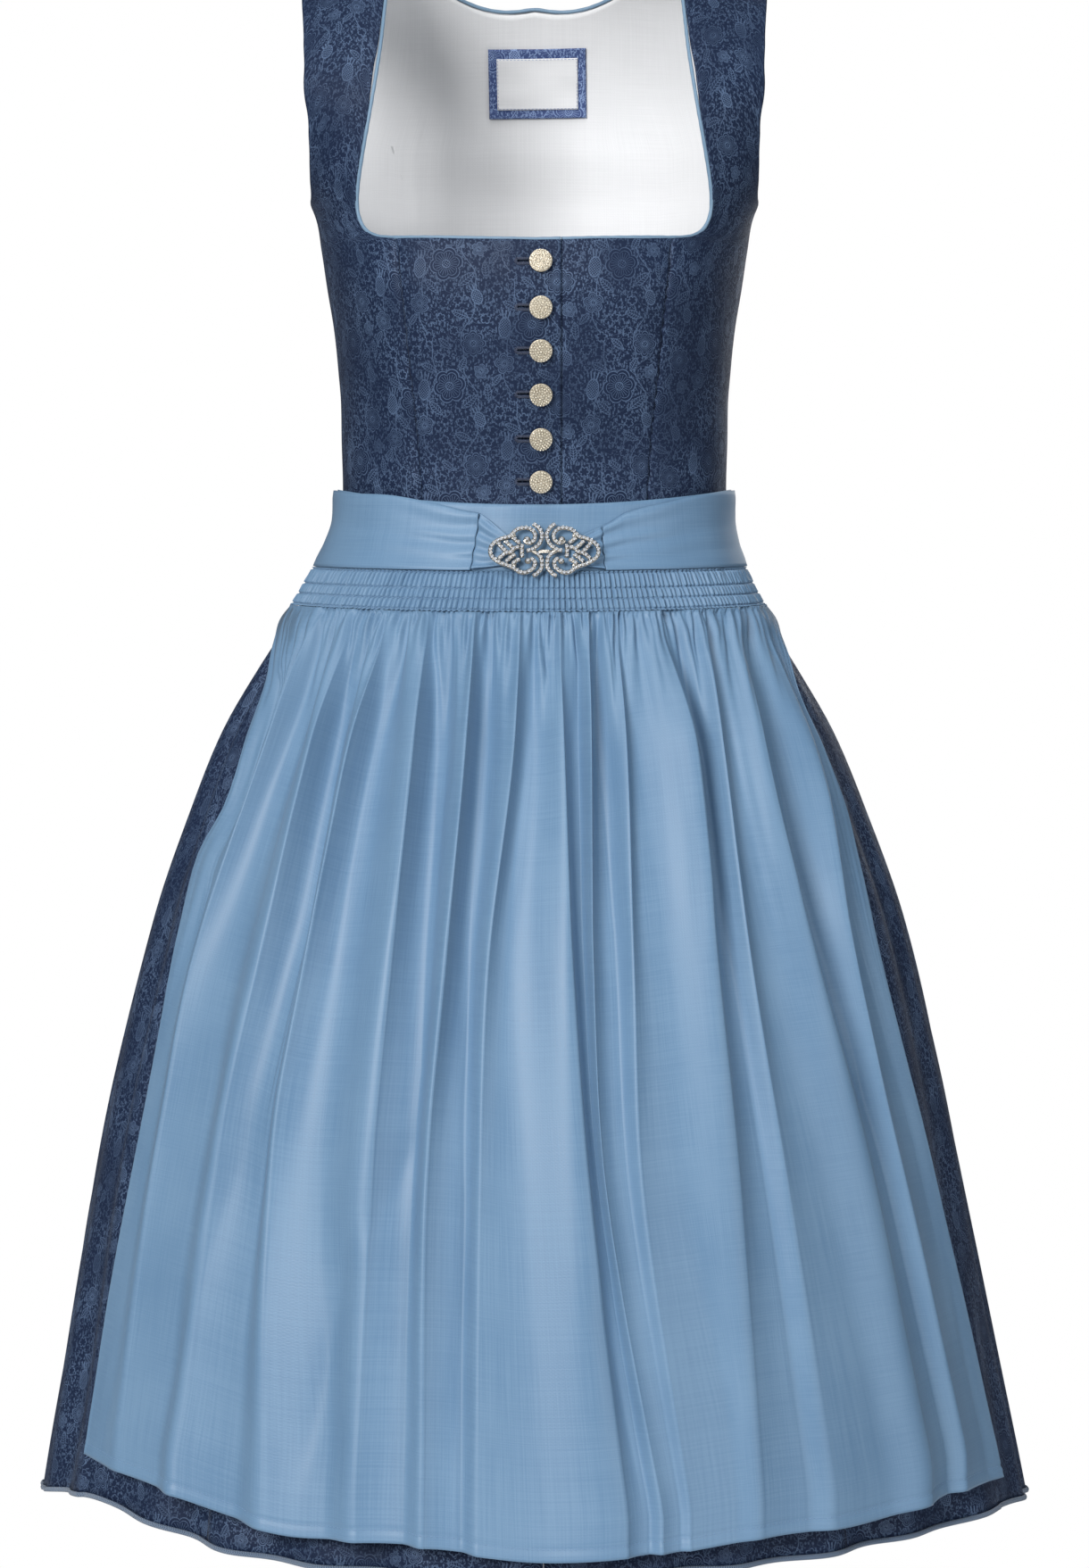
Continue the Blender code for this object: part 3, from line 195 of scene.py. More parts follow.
# Apron: x of each fold's crest at the five fold levels, its depth, and the share left at the hem
apronFolds = (
    (-0.138, -0.166, -0.208, -0.236, -0.262, 0.005, 0.4),
    (-0.115, -0.137, -0.165, -0.195, -0.223, 0.006, 0.8),
    (-0.0905, -0.112, -0.137, -0.16, -0.166, 0.007, 0.5),
    (-0.0665, -0.0725, -0.085, -0.0975, -0.106, 0.007, 0.7),
    (-0.036, -0.041, -0.052, -0.0635, -0.0655, 0.0065, 0.8),
    (-0.008, -0.0125, -0.027, -0.0315, -0.033, 0.0045, 0.5),
    (0.0155, 0.0185, 0.0235, 0.034, 0.0565, 0.0035, 1.3),
    (0.034, 0.0345, 0.036, 0.044, 0.078, 0.005, 0.5),
    (0.052, 0.0565, 0.0605, 0.0665, 0.095, 0.003, 0.5),
    (0.079, 0.0985, 0.111, 0.1255, 0.14, 0.008, 0.3),
    (0.106, 0.1165, 0.132, 0.155, 0.185, 0.003, 0.6),
    (0.131, 0.142, 0.172, 0.208, 0.247, 0.005, 1.0),
    (0.145, 0.175, 0.197, 0.23, 0.274, 0.005, 0.6),
)
# Apron: degrees from the front towards the left, and level of the hem
apronHem = (
    (-66.0, -0.929),
    (-58.0, -0.933),
    (-46.0, -0.9405),
    (-37.5, -0.9495),
    (-29.0, -0.957),
    (-22.0, -0.9565),
    (-13.5, -0.9575),
    (0.0, -0.965),
    (11.5, -0.963),
    (19.0, -0.961),
    (28.0, -0.957),
    (40.0, -0.9565),
    (56.0, -0.95),
    (73.0, -0.95),
)


# Curves and surfaces of the worn garment

def readTable(table, place):
    # rows of a table at any place, on a smooth curve through them
    rows = np.array(table, float)
    at = np.clip(np.asarray(place, float), rows[0, 0], rows[-1, 0])
    above = np.clip(np.searchsorted(rows[:, 0], at), 1, len(rows) - 1)
    low, high = rows[above - 1], rows[above]
    before = rows[np.maximum(above - 2, 0)]
    beyond = rows[np.minimum(above + 1, len(rows) - 1)]
    span = high[..., :1] - low[..., :1]
    part = (at[..., None] - low[..., :1]) / span
    rest = 1 - part
    leaving = (high - before) / (high[..., :1] - before[..., :1]) * span
    arriving = (beyond - low) / (beyond[..., :1] - low[..., :1]) * span
    value = low * (1 + 2 * part) * rest ** 2 + high * (3 - 2 * part) * part ** 2
    return value + leaving * part * rest ** 2 - arriving * part ** 2 * rest


def mix(start, end, part):
    return start + (end - start) * part


def ease(part):
    part = np.clip(part, 0.0, 1.0)
    return part * part * (3 - 2 * part)


def bell(distance, width):
    return np.exp(-(distance / width) ** 2)


def ring(rings, angle, level, out=0.0):
    row = readTable(rings, level)
    bend = 2 / row[..., 6]
    across = np.sign(np.sin(angle)) * np.abs(np.sin(angle)) ** bend
    ahead = np.sign(np.cos(angle)) * np.abs(np.cos(angle)) ** bend
    depth = np.where(ahead > 0, row[..., 2], row[..., 3])
    x = row[..., 5] + (row[..., 1] + out) * across
    y = row[..., 4] - (depth + out) * ahead
    return np.stack([x, y, level + 0 * x], -1)


def angleOf(rings, x, level, out=0.0):
    row = readTable(rings, level)
    aside = x - row[..., 5]
    share = np.minimum(np.abs(aside) / (row[..., 1] + out), 1.0)
    return np.sign(aside) * np.arcsin(share ** (row[..., 6] / 2))


def shoulderTop(x):
    return shoulderAtNeck + (neckHalfWidth - np.abs(x)) * shoulderSlope


def torso(angle, level, out=0.0):
    angle, level, out = np.broadcast_arrays(angle, level, np.asarray(out, float))
    point = ring(torsoRings, angle, level, out)
    rise = (level - bust["level"]) / bust["height"]
    aside = (np.abs(point[..., 0]) - bust["x"]) / bust["width"]
    point[..., 1] -= np.where(np.cos(angle) > 0, bust["lift"] * 2.0 ** -(rise ** 2 + aside ** 2), 0.0)
    sway = readTable(torsoRings, level)[..., 4]
    turn = np.clip(1 - level / rollStart, 0.0, None) * pi / 2
    rolled = level > rollStart
    point[..., 1] = np.where(rolled, sway + (point[..., 1] - sway) * np.cos(turn), point[..., 1])
    top = rollStart + (shoulderTop(point[..., 0]) + out - rollStart) * np.sin(turn)
    point[..., 2] = np.where(rolled, top, point[..., 2])
    return point


def hips(angle, level, out=0.0):
    return ring(skirtRings, angle, level, out)


def waist(angle, level, out=0.0):
    return ring(bandRings, angle, level, out)


def frontPlace(x, z):
    # angle and level of a point of the front that shows at x and z
    x, z = np.broadcast_arrays(np.asarray(x, float), z)
    top = shoulderTop(x)
    turn = np.arcsin(np.clip((z - rollStart) / (top - rollStart), -1, 1))
    below = np.where(z <= rollStart, z, rollStart * (1 - turn / (pi / 2)))
    level = np.where(z >= top, -seamGap, below)
    return angleOf(torsoRings, x, level), level


def frameAt(surface, angle, level, out):
    # axes on a surface: x to the wearer's left, y up along the cloth, z outwards
    step = 0.001
    across = Vector(surface(angle + step, level, out) - surface(angle - step, level, out))
    rise = Vector(surface(angle, level + step, out) - surface(angle, level - step, out))
    outwards = across.cross(rise).normalized()
    upwards = outwards.cross(across).normalized()
    axes = Matrix((across.normalized(), upwards, outwards)).transposed().to_4x4()
    return Matrix.Translation(Vector(surface(angle, level, out))) @ axes


def normals(points):
    normal = np.cross(np.gradient(points, axis=1), np.gradient(points, axis=0))
    return normal / np.linalg.norm(normal, axis=-1, keepdims=True)


def raised(points, height):
    # moves a sheet's points out along its own normals
    return points + normals(points) * np.asarray(height)[..., None]


def ripples(u, v, wave, seed, count=6):
    # soft uneven waves of about one length
    dice = np.random.default_rng(seed)
    total = 0.0
    for _ in range(count):
        turn, phase, stretch = dice.uniform(0, pi), dice.uniform(0, 2 * pi), dice.uniform(0.7, 1.4)
        total = total + np.sin((u * cos(turn) + v * sin(turn)) * 2 * pi / (wave * stretch) + phase)
    return total / sqrt(count)


def creased(x, z, creases):
    # ridges and troughs along given paths of x and z, each with its width on either side
    total = 0.0
    for height, left, right, *path in creases:
        line = sorted((z, x) for x, z in path)
        low, high = line[0][0], line[-1][0]
        aside = x - readTable(line, z)[..., 1]
        near = np.exp(-np.abs(aside / np.where(aside < 0, left, right)) ** 1.4)
        span = high - low
        fade = ease((z - low) / (0.35 * span)) * ease((high - z) / (0.25 * span))
        total = total + height * near * fade
    return total


def runs(points, axis):
    # length along the points, from the first one on
    steps = np.linalg.norm(np.diff(points, axis=axis), axis=-1).cumsum(axis)
    return np.concatenate([0 * np.take(steps, [0], axis), steps], axis)


def flatPlaces(points, column=0):
    # how far each point lies along the cloth, across from one column and up from the lowest row
    across, up = runs(points, 1), runs(points, 0)
    return np.stack([across - across[:, column:column + 1], up], -1)


def mirrored(points, uv):
    # the same sheet on the other side, whose rows run to the wearer's left again
    return points[:, ::-1] * (-1, 1, 1), uv[:, ::-1] * (-1, 1)


def softened(rows):
    # each row drawn towards the middle of its neighbours
    return (rows[:-2] + 2 * rows[1:-1] + rows[2:]) / 4


# Making and placing pieces

def selectOnly(piece):
    bpy.ops.object.select_all(action="DESELECT")
    piece.select_set(True)
    bpy.context.view_layer.objects.active = piece


def added(add, **values):
    # a new primitive, with nothing else selected
    bpy.ops.object.select_all(action="DESELECT")
    add(**values)
    return bpy.context.object


def placed(name, data):
    piece = bpy.data.objects.new(name, data)
    bpy.context.collection.objects.link(piece)
    return piece


def pickFaces(piece, axis, side=1):
    # selects the faces that look along an axis, in edit mode
    bpy.ops.mesh.select_all(action="DESELECT")
    work = bmesh.from_edit_mesh(piece.data)
    work.normal_update()
    for face in work.faces:
        face.select_set(face.normal[axis] * side > 0.9)
    work.select_flush(True)
    bmesh.update_edit_mesh(piece.data)


def applyAll(piece):
    selectOnly(piece)
    for modifier in list(piece.modifiers):
        bpy.ops.object.modifier_apply(modifier=modifier.name)


def dress(piece, slotName, *nodes):
    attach(piece, "root")
    if nodes:
        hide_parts(*nodes)
    return piece


def sheetObject(name, points, uv, finishes, wall=0.0, closed=False):
    # cloth through a grid of points, each row running to the wearer's left and each one higher
    rows, columns = points.shape[:2]
    index = np.arange(rows * columns).reshape(rows, columns)
    if closed:
        index = np.concatenate([index, index[:, :1]], 1)
    faces = np.stack([index[:-1, :-1], index[:-1, 1:], index[1:, 1:], index[1:, :-1]], -1).reshape(-1, 4)
    mesh = bpy.data.meshes.new(name)
    mesh.from_pydata(points.reshape(-1, 3).tolist(), [], faces.tolist())
    layer = mesh.uv_layers.new(name="cloth")
    corner = np.empty(len(mesh.loops), int)
    mesh.loops.foreach_get("vertex_index", corner)
    layer.data.foreach_set("uv", uv.reshape(-1, 2)[corner].ravel())
    for finish in finishes:
        mesh.materials.append(finish)
    mesh.shade_smooth()
    piece = placed(name, mesh)
    if wall:
        solidify = piece.modifiers.new("wall", "SOLIDIFY")
        solidify.thickness = wall
        solidify.offset = -1
        solidify.material_offset = len(finishes) - 1
        applyAll(piece)
    return piece


def copies(name, shape, frames, finish):
    # one mesh of many copies of a small shape, a frame for each
    frames = np.array([np.array(place) for place in frames])
    corners = np.array([(*vertex.co, 1.0) for vertex in shape.vertices])
    points = np.einsum("nij,vj->nvi", frames, corners)[..., :3].reshape(-1, 3)
    faces = [tuple(face.vertices) for face in shape.polygons]
    starts = range(0, len(points), len(corners))
    every = [[corner + start for corner in face] for start in starts for face in faces]
    mesh = bpy.data.meshes.new(name)
    mesh.from_pydata(points.tolist(), [], every)
    mesh.materials.append(finish)
    mesh.polygons.foreach_set("use_smooth", [face.use_smooth for face in shape.polygons] * len(frames))
    return placed(name, mesh)


def takeShape(piece):
    # keeps a modelled mesh and lets its object go
    shape = piece.data
    bpy.data.objects.remove(piece)
    return shape


def joined(name, pieces):
    bpy.ops.object.select_all(action="DESELECT")
    for piece in pieces:
        piece.select_set(True)
    bpy.context.view_layer.objects.active = pieces[0]
    bpy.ops.object.join()
    pieces[0].name = name
    return pieces[0]


# Stitches

stitch = {"thickness": 0.00042, "sides": 6}
hemStitch = {"pitch": 0.0032, "length": 0.0021, "thickness": 0.00035, "lift": 0.0001}
gatherStitch = {"pitch": 0.00325, "length": 0.0019, "thickness": 0.0004, "lift": 0.0002}
labelStitch = {"pitch": 0.0024, "length": 0.0015, "thickness": 0.0003, "lift": 0.0002}


def stitchShape():
    # a short thread lying along x that dives into the cloth at both ends
    thread = added(bpy.ops.mesh.primitive_cylinder_add, vertices=stitch["sides"], radius=0.5, depth=0.5,
                   end_fill_type="NGON", rotation=(0, pi / 2, 0))
    bpy.ops.object.transform_apply(rotation=True)
    bpy.ops.object.mode_set(mode="EDIT")
    for side in (-1, 1):
        pickFaces(thread, 0, side)
        bpy.ops.mesh.extrude_region_move(TRANSFORM_OT_translate={"value": (side * 0.25, 0, -0.2)})
        bpy.ops.transform.resize(value=(0.45, 0.45, 0.45), center_override=(side * 0.5, 0, -0.35))
    bpy.ops.object.mode_set(mode="OBJECT")
    bpy.ops.object.shade_smooth()
    return takeShape(thread)


def seamStitches(name, line, outwards, look, finish):
    # a row of stitches along a dense line of points with their outward directions
    along = runs(line[None], 1)[0]
    frames = []
    for place in np.arange(look["pitch"] / 2, along[-1], look["pitch"]):
        at = int(np.clip(np.searchsorted(along, place), 1, len(line) - 2))
        ahead = Vector(line[at + 1] - line[at - 1]).normalized()
        out = Vector(outwards[at])
        aside = out.cross(ahead).normalized()
        out = ahead.cross(aside)
        centre = Vector([np.interp(place, along, line[:, axis]) for axis in range(3)])
        thick = look["thickness"]
        turned = Matrix((ahead * look["length"], aside * thick, out * thick)).transposed().to_4x4()
        frames.append(Matrix.Translation(centre + out * look["lift"]) @ turned)
    return dress(copies(name, threadShape, frames, finish), "blue_thread")


# Finishes

class Field:
    # a value in a tree of nodes, so that the sums of a finish are written as plain sums

    def __init__(self, socket):
        self.socket = socket
        self.tree = socket.id_data

    def __add__(self, other):
        return maths("ADD", self, other)

    def __sub__(self, other):
        return maths("SUBTRACT", self, other)

    def __rsub__(self, other):
        return maths("SUBTRACT", other, self)

    def __mul__(self, other):
        return maths("MULTIPLY", self, other)

    def __truediv__(self, other):
        return maths("DIVIDE", self, other)

    def __pow__(self, other):
        return maths("POWER", self, other)

    def __lt__(self, other):
        return maths("LESS_THAN", self, other)

    def __gt__(self, other):
        return maths("GREATER_THAN", self, other)

    def __abs__(self):
        return maths("ABSOLUTE", self)


def feed(socket, value):
    if isinstance(value, Field):
        value.tree.links.new(value.socket, socket)
    else:
        socket.default_value = value


def maths(operation, *values, clamp=False):
    tree = next(value.tree for value in values if isinstance(value, Field))
    node = tree.nodes.new("ShaderNodeMath")
    node.operation = operation
    node.use_clamp = clamp
    for socket, value in zip(node.inputs, values):
        feed(socket, value)
    return Field(node.outputs[0])


def sine(angle):
    return maths("SINE", angle)


def cosine(angle):
    return maths("COSINE", angle)


def root(value):
    return maths("SQRT", value)


def nearest(value):
    # the nearest whole number
    return maths("ROUND", value)


def fraction(value):
    return maths("FRACT", value)


def zigzag(value, reach):
    # up and down between 0 and the reach
    return maths("PINGPONG", value, reach)


def largest(*values):
    return reduce(partial(maths, "MAXIMUM"), values)


def held(value, slope, start):
    # a straight rise or fall, held between 0 and 1
    return maths("MULTIPLY_ADD", value, slope, start, clamp=True)


def stroke(distance, width):
    # a soft line where the distance is small
    return held(abs(distance), -2.2 / width, 1.3)


def startGroup(name, outputs, **inputs):
    group = bpy.data.node_groups.new(name, "ShaderNodeTree")
    for word, value in inputs.items():
        kind = "NodeSocketVector" if isinstance(value, tuple) else "NodeSocketFloat"
        socket = group.interface.new_socket(name=word, in_out="INPUT", socket_type=kind)
        socket.default_value = value
    for word in outputs:
        group.interface.new_socket(name=word, in_out="OUTPUT", socket_type="NodeSocketFloat")
    given = group.nodes.new("NodeGroupInput").outputs
    return group, *[Field(given[word]) for word in inputs]


def closeGroup(group, *fields):
    for socket, field in zip(group.nodes.new("NodeGroupOutput").inputs, fields):
        feed(socket, field)
    return group


def useGroup(group, **values):
    tree = next(value.tree for value in values.values() if isinstance(value, Field))
    node = tree.nodes.new("ShaderNodeGroup")
    node.node_tree = group
    for word, value in values.items():
        feed(node.inputs[word], value)
    return [Field(socket) for socket in node.outputs]


def texture(kind, place, flat, **values):
    node = place.tree.nodes.new(f"ShaderNodeTex{kind}")
    setattr(node, f"{kind.lower()}_dimensions", "2D" if flat else "3D")
    for word, value in {"Vector": place, **values}.items():
        feed(node.inputs[word], value)
    return node.outputs


def noise(place, scale, detail=2.0, flat=False):
    return Field(texture("Noise", place, flat, Scale=scale, Detail=detail)[0])


def cells(place, scale, flat=False):
    # how far each place is from the middle of its cell
    return Field(texture("Voronoi", place, flat, Scale=scale)["Distance"])


def mapped(place, scale=(1, 1, 1), turn=0.0, shift=(0, 0, 0)):
    node = place.tree.nodes.new("ShaderNodeMapping")
    values = {"Vector": place, "Location": shift, "Rotation": (0, 0, turn), "Scale": scale}
    for word, value in values.items():
        feed(node.inputs[word], value)
    return Field(node.outputs[0])


def parts(place):
    # the x and y of a place
    node = place.tree.nodes.new("ShaderNodeSeparateXYZ")
    feed(node.inputs[0], place)
    return Field(node.outputs[0]), Field(node.outputs[1])


def mixedColour(part, *colours):
    node = part.tree.nodes.new("ShaderNodeMix")
    node.data_type = "RGBA"
    feed(node.inputs[0], part)
    for socket, colour in zip((node.inputs[6], node.inputs[7]), colours):
        feed(socket, (*colour, 1) if isinstance(colour, tuple) else colour)
    return Field(node.outputs[2])


def ranged(value, low, high, start=0.0, end=1.0):
    node = value.tree.nodes.new("ShaderNodeMapRange")
    for socket, number in zip(node.inputs, (value, low, high, start, end)):
        feed(socket, number)
    return Field(node.outputs[0])


def bumped(height, distance, strength):
    node = height.tree.nodes.new("ShaderNodeBump")
    for word, value in {"Height": height, "Distance": distance, "Strength": strength}.items():
        feed(node.inputs[word], value)
    return Field(node.outputs[0])


def setFinish(finish, **values):
    shader = finish.node_tree.nodes["Principled BSDF"]
    for word, value in values.items():
        feed(shader.inputs[word.replace("_", " ")], value)
    return finish


def startFinish(name, roughness, metallic=0.0, **values):
    finish = bpy.data.materials.new(name)
    finish.use_nodes = True
    return setFinish(finish, Roughness=roughness, Metallic=metallic, **values)


def clothPlace(finish):
    node = finish.node_tree.nodes.new("ShaderNodeUVMap")
    node.uv_map = "cloth"
    return Field(node.outputs[0])


def objectPlace(finish):
    return Field(finish.node_tree.nodes.new("ShaderNodeTexCoord").outputs["Object"])


# The jacquard's flowers repeat in a half drop. Each motif group takes a place in millimetres from
# its own centre and gives a mask of its woven lines.

repeat = {"across": 53.0, "up": 75.0}


def repeatGroup():
    group, place, across, up, turn = startGroup(
        "halfDropRepeat", ("X", "Y"), Place=(0, 0, 0), Across=0.0, Up=0.0, Turn=0.0)
    x, y = parts(place)
    x = x - across
    column = nearest(x / repeat["across"])
    x = x - column * repeat["across"]
    y = y - up - column * (repeat["up"] / 2)
    y = y - nearest(y / repeat["up"]) * repeat["up"]
    return closeGroup(group, x * cosine(turn) + y * sine(turn), y * cosine(turn) - x * sine(turn))


def flowerGroup():
    # petals in two outlines, rays inside them and a dotted heart
    group, x, y, size, petals, depth = startGroup(
        "petalledFlower", ("Lines", "Fill"), X=0.0, Y=0.0, Size=10.0, Petals=6.0, Depth=0.24)
    radius = root(x ** 2.0 + y ** 2.0)
    angle = maths("ARCTAN2", y, x)
    lobe = abs(cosine(angle * petals * 0.5)) ** 0.6
    edge = size * (1.0 - depth + lobe * depth)
    toEdge = radius - edge
    outer = stroke(toEdge, 0.75)
    inner = stroke(toEdge + size * 0.2, 0.55)
    rays = stroke(sine(angle * petals * 2.0) * (radius * 0.1), 0.42)
    rays = rays * ((radius < edge * 0.7) * (radius > size * 0.3))
    heart = stroke(radius - size * 0.24, 0.6)
    dots = sine(x * 3.6) * sine(y * 3.6)
    dots = (dots > 0.2) * (radius < size * 0.22)
    # a small flower has nothing inside its outline
    large = held(size, 1.0, -3.5)
    lines = largest(outer, largest(inner, rays, heart, dots) * large)
    return closeGroup(group, lines, toEdge < 0.0)


def leafGroup():
    # a pointed leaf with a saw edge, a midrib and slanted veins
    teeth = 7.0
    group, x, y, size, width = startGroup(
        "sawEdgedLeaf", ("Lines", "Fill"), X=0.0, Y=0.0, Size=10.0, Width=3.0)
    way = held(y / size, 1.0, 0.5)
    half = sine(way * pi) ** 0.8 * width
    edge = abs(x) - half * (1.08 - fraction(way * teeth) * 0.22)
    inside = edge < 0.0
    veins = (fraction(way * teeth - abs(x) * 0.4) < 0.32) * 0.7
    lines = largest(stroke(edge, 0.6), largest(stroke(x, 0.5), veins) * inside)
    length = abs(y) < size * 0.52
    return closeGroup(group, lines * length, inside * length)


def thistleGroup():
    # a netted bulb with a fringe of hairs above it
    mesh = 0.85
    group, x, y, size, slim = startGroup(
        "nettedThistle", ("Lines", "Fill"), X=0.0, Y=0.0, Size=10.0, Slim=0.62)
    across, up = x / (size * slim), y / size
    edge = (root(across ** 2.0 + up ** 2.0) - 1.0) * (size * slim)
    net = maths("MINIMUM", zigzag(x + y, mesh), zigzag(x - y, mesh)) < 0.24
    inside = edge < 0.0
    hairs = zigzag(across / (up + 0.4), 0.16) < 0.06
    hairs = hairs * ((up > 0.9) * (up < 1.75)) * (abs(across) < up * 0.8)
    return closeGroup(group, largest(stroke(edge, 0.7), net * inside, hairs), inside)


def stemGroup():
    # a stem that swings from side to side all the way up the repeat, with short shoots
    swings, curls, shoots = (count * 2 * pi / repeat["up"] for count in (1, 3, 8))
    group, x, y, size, phase = startGroup(
        "swingingStem", ("Lines",), X=0.0, Y=0.0, Size=10.0, Phase=0.0)
    middle = sine(y * swings + phase) * size + sine(y * curls + phase) * (size * 0.3)
    near = stroke(x - middle, 0.7)
    short = stroke(sine(y * shoots + x * 0.5), 0.35) * (abs(x - middle) < 2.2) * 0.8
    return closeGroup(group, largest(near, short))


# place of each motif in the repeat in millimetres, its turn and its sizes
flowers = (
    (0.0, 0.0, 0.2, {"Size": 10.5, "Petals": 6.0, "Depth": 0.24}),
    (16.0, 26.0, 0.0, {"Size": 7.8, "Petals": 8.0, "Depth": 0.3}),
    (-17.5, -24.0, 0.5, {"Size": 6.2, "Petals": 5.0, "Depth": 0.36}),
    (20.5, 9.0, 0.1, {"Size": 4.4, "Petals": 5.0, "Depth": 0.42}),
    (-6.0, 17.5, 0.4, {"Size": 3.0, "Petals": 5.0, "Depth": 0.5}),
    (7.0, -22.5, 0.9, {"Size": 2.8, "Petals": 5.0, "Depth": 0.5}),
    (-21.5, 22.0, 0.0, {"Size": 3.2, "Petals": 6.0, "Depth": 0.5}),
    (-12.0, 30.0, 0.3, {"Size": 3.0, "Petals": 5.0, "Depth": 0.5}),
    (4.0, 34.0, 0.7, {"Size": 2.6, "Petals": 6.0, "Depth": 0.5}),
    (24.0, -34.0, 0.2, {"Size": 3.0, "Petals": 5.0, "Depth": 0.5}),
    (-4.0, -33.0, 0.5, {"Size": 2.6, "Petals": 5.0, "Depth": 0.5}),
)
thistles = (
    (-17.0, -2.0, -0.12, {"Size": 6.2, "Slim": 0.6}),
    (19.0, -20.5, 0.35, {"Size": 4.6, "Slim": 0.7}),
)
leaves = (
    (12.5, -9.5, -0.9, {"Size": 13.0, "Width": 2.6}),
    (-9.5, -13.5, 0.8, {"Size": 12.0, "Width": 2.4}),
    (9.0, 13.5, -0.5, {"Size": 9.0, "Width": 2.1}),
    (-13.0, 11.5, 1.1, {"Size": 11.0, "Width": 2.2}),
    (8.0, -31.0, 1.2, {"Size": 11.0, "Width": 2.3}),
    (24.5, -4.0, 0.1, {"Size": 11.0, "Width": 2.1}),
    (-2.0, 26.0, 0.9, {"Size": 10.0, "Width": 2.0}),
    (-23.0, -34.0, -0.7, {"Size": 9.0, "Width": 2.0}),
)
stems = ((-13.0, 0.0, 0.0, {"Size": 4.5, "Phase": 0.6}), (13.5, 0.0, 0.0, {"Size": 5.0, "Phase": 2.9}))
yarnsPerMetre = (2600, 900, 1)


def jacquardGroup():
    # places the motifs in the repeat, and fills what is left with curls and specks
    group, metres = startGroup("flowerJacquard", ("Pattern", "Weave"), Place=(0, 0, 0))
    place = mapped(metres, (1000, 1000, 1000))
    fold = repeatGroup()

    def strewn(shape, spots):
        for across, up, turn, sizes in spots:
            x, y = useGroup(fold, Place=place, Across=across, Up=up, Turn=turn)
            yield useGroup(shape, X=x, Y=y, **sizes)

    shapes = (flowerGroup(), flowers), (thistleGroup(), thistles), (leafGroup(), leaves)
    motifs = [fields for shape, spots in shapes for fields in strewn(shape, spots)]
    pattern = largest(*[lines for lines, fill in motifs])
    cover = largest(*[fill for lines, fill in motifs])
    loose = largest(*[lines for (lines,) in strewn(stemGroup(), stems)])
    curls = stroke(noise(place, 0.21, 1.0, flat=True) - 0.5, 0.042)
    leaflets = cells(mapped(place, (0.42, 0.2, 1), 0.6), 1.0, flat=True) < 0.2
    specks = cells(place, 0.36, flat=True) < 0.17
    loose = largest(loose, curls * 0.65, leaflets * 0.7, specks * 0.55)
    pattern = largest(pattern, loose * (1.0 - cover))
    # the yarns: the pattern's floats break into short stitches
    threads = noise(mapped(metres, yarnsPerMetre), 1.0, flat=True)
    return closeGroup(group, pattern * ranged(threads, 0.3, 0.6, 0.45, 1.0), threads)


jacquardLook = {
    "ground": (0.0045, 0.012, 0.037), "groundLight": (0.008, 0.019, 0.054),
    "flower": (0.108, 0.168, 0.285), "roughness": 0.55, "sheen": 0.03,
}


def makeJacquard():
    finish = startFinish("navyJacquard", jacquardLook["roughness"], Sheen_Weight=jacquardLook["sheen"],
                         Sheen_Roughness=0.4, Specular_IOR_Level=0.2)
    place = clothPlace(finish)
    pattern, weave = useGroup(jacquardWeave, Place=place)
    ground = mixedColour(weave, jacquardLook["ground"], jacquardLook["groundLight"])
    # random patches where the motif lines are brighter: painted sheen of their floats
    patchySheen = ranged(noise(place, 26.0, flat=True), 0.35, 0.65, 0.45, 1.0)
    yarns = noise(mapped(place, yarnsPerMetre), 1.0, flat=True)
    return setFinish(finish, Base_Color=mixedColour(pattern * patchySheen, ground, jacquardLook["flower"]),
                     Roughness=ranged(pattern, 0.0, 1.0, 0.62, 0.4), Normal=bumped(yarns, 0.00018, 0.8))


def satinGroup():
    # fine ribs, a few thicker yarns and soft uneven dyeing
    group, place, yarn = startGroup("satinWeave", ("Tone", "Height"), Place=(0, 0, 0), Yarn=3200.0)
    slubs = noise(mapped(place, (18, 1500, 1)), 1.0, flat=True)
    warps = noise(mapped(place, (1500, 14, 1)), 1.0, flat=True)
    cloud = noise(place, 14.0, 3.0, flat=True)
    x, y = parts(place)
    ribs = sine(x * yarn) * sine(y * yarn)
    tone = slubs * 0.3 + (warps * 0.35 + cloud * 0.35)
    return closeGroup(group, tone, ribs * 0.25 + (slubs + warps))


satinLook = {"shade": (0.116, 0.217, 0.352), "lit": (0.148, 0.258, 0.396), "roughness": 0.46, "sheen": 0.05}
pipingLook = {"shade": (0.14, 0.235, 0.345), "lit": (0.19, 0.295, 0.41), "roughness": 0.5, "sheen": 0.1}
liningLook = {"shade": (0.69, 0.7, 0.72), "lit": (0.74, 0.75, 0.77), "roughness": 0.8, "sheen": 0.1}


def makeSatin(name, look):
    finish = startFinish(name, look["roughness"], Sheen_Weight=look["sheen"], Sheen_Roughness=0.45,
                         Specular_IOR_Level=0.4)
    tone, height = useGroup(satinWeave, Place=clothPlace(finish))
    colour = mixedColour(ranged(tone, 0.38, 0.62), look["shade"], look["lit"])
    roughness = ranged(tone, 0.35, 0.65, look["roughness"] - 0.05, look["roughness"] + 0.06)
    return setFinish(finish, Base_Color=colour, Roughness=roughness, Normal=bumped(height, 0.00006, 0.6))


# the low colour is painted shade in the grooves between the braid's strands
braidShadedLook = {"low": (0.05, 0.08, 0.15), "high": (0.17, 0.25, 0.36), "strands": 4200, "slant": 3000}
borderLook = {"ground": (0.032, 0.062, 0.19), "flower": (0.30, 0.42, 0.68), "shift": (0.021, 0.094, 0)}


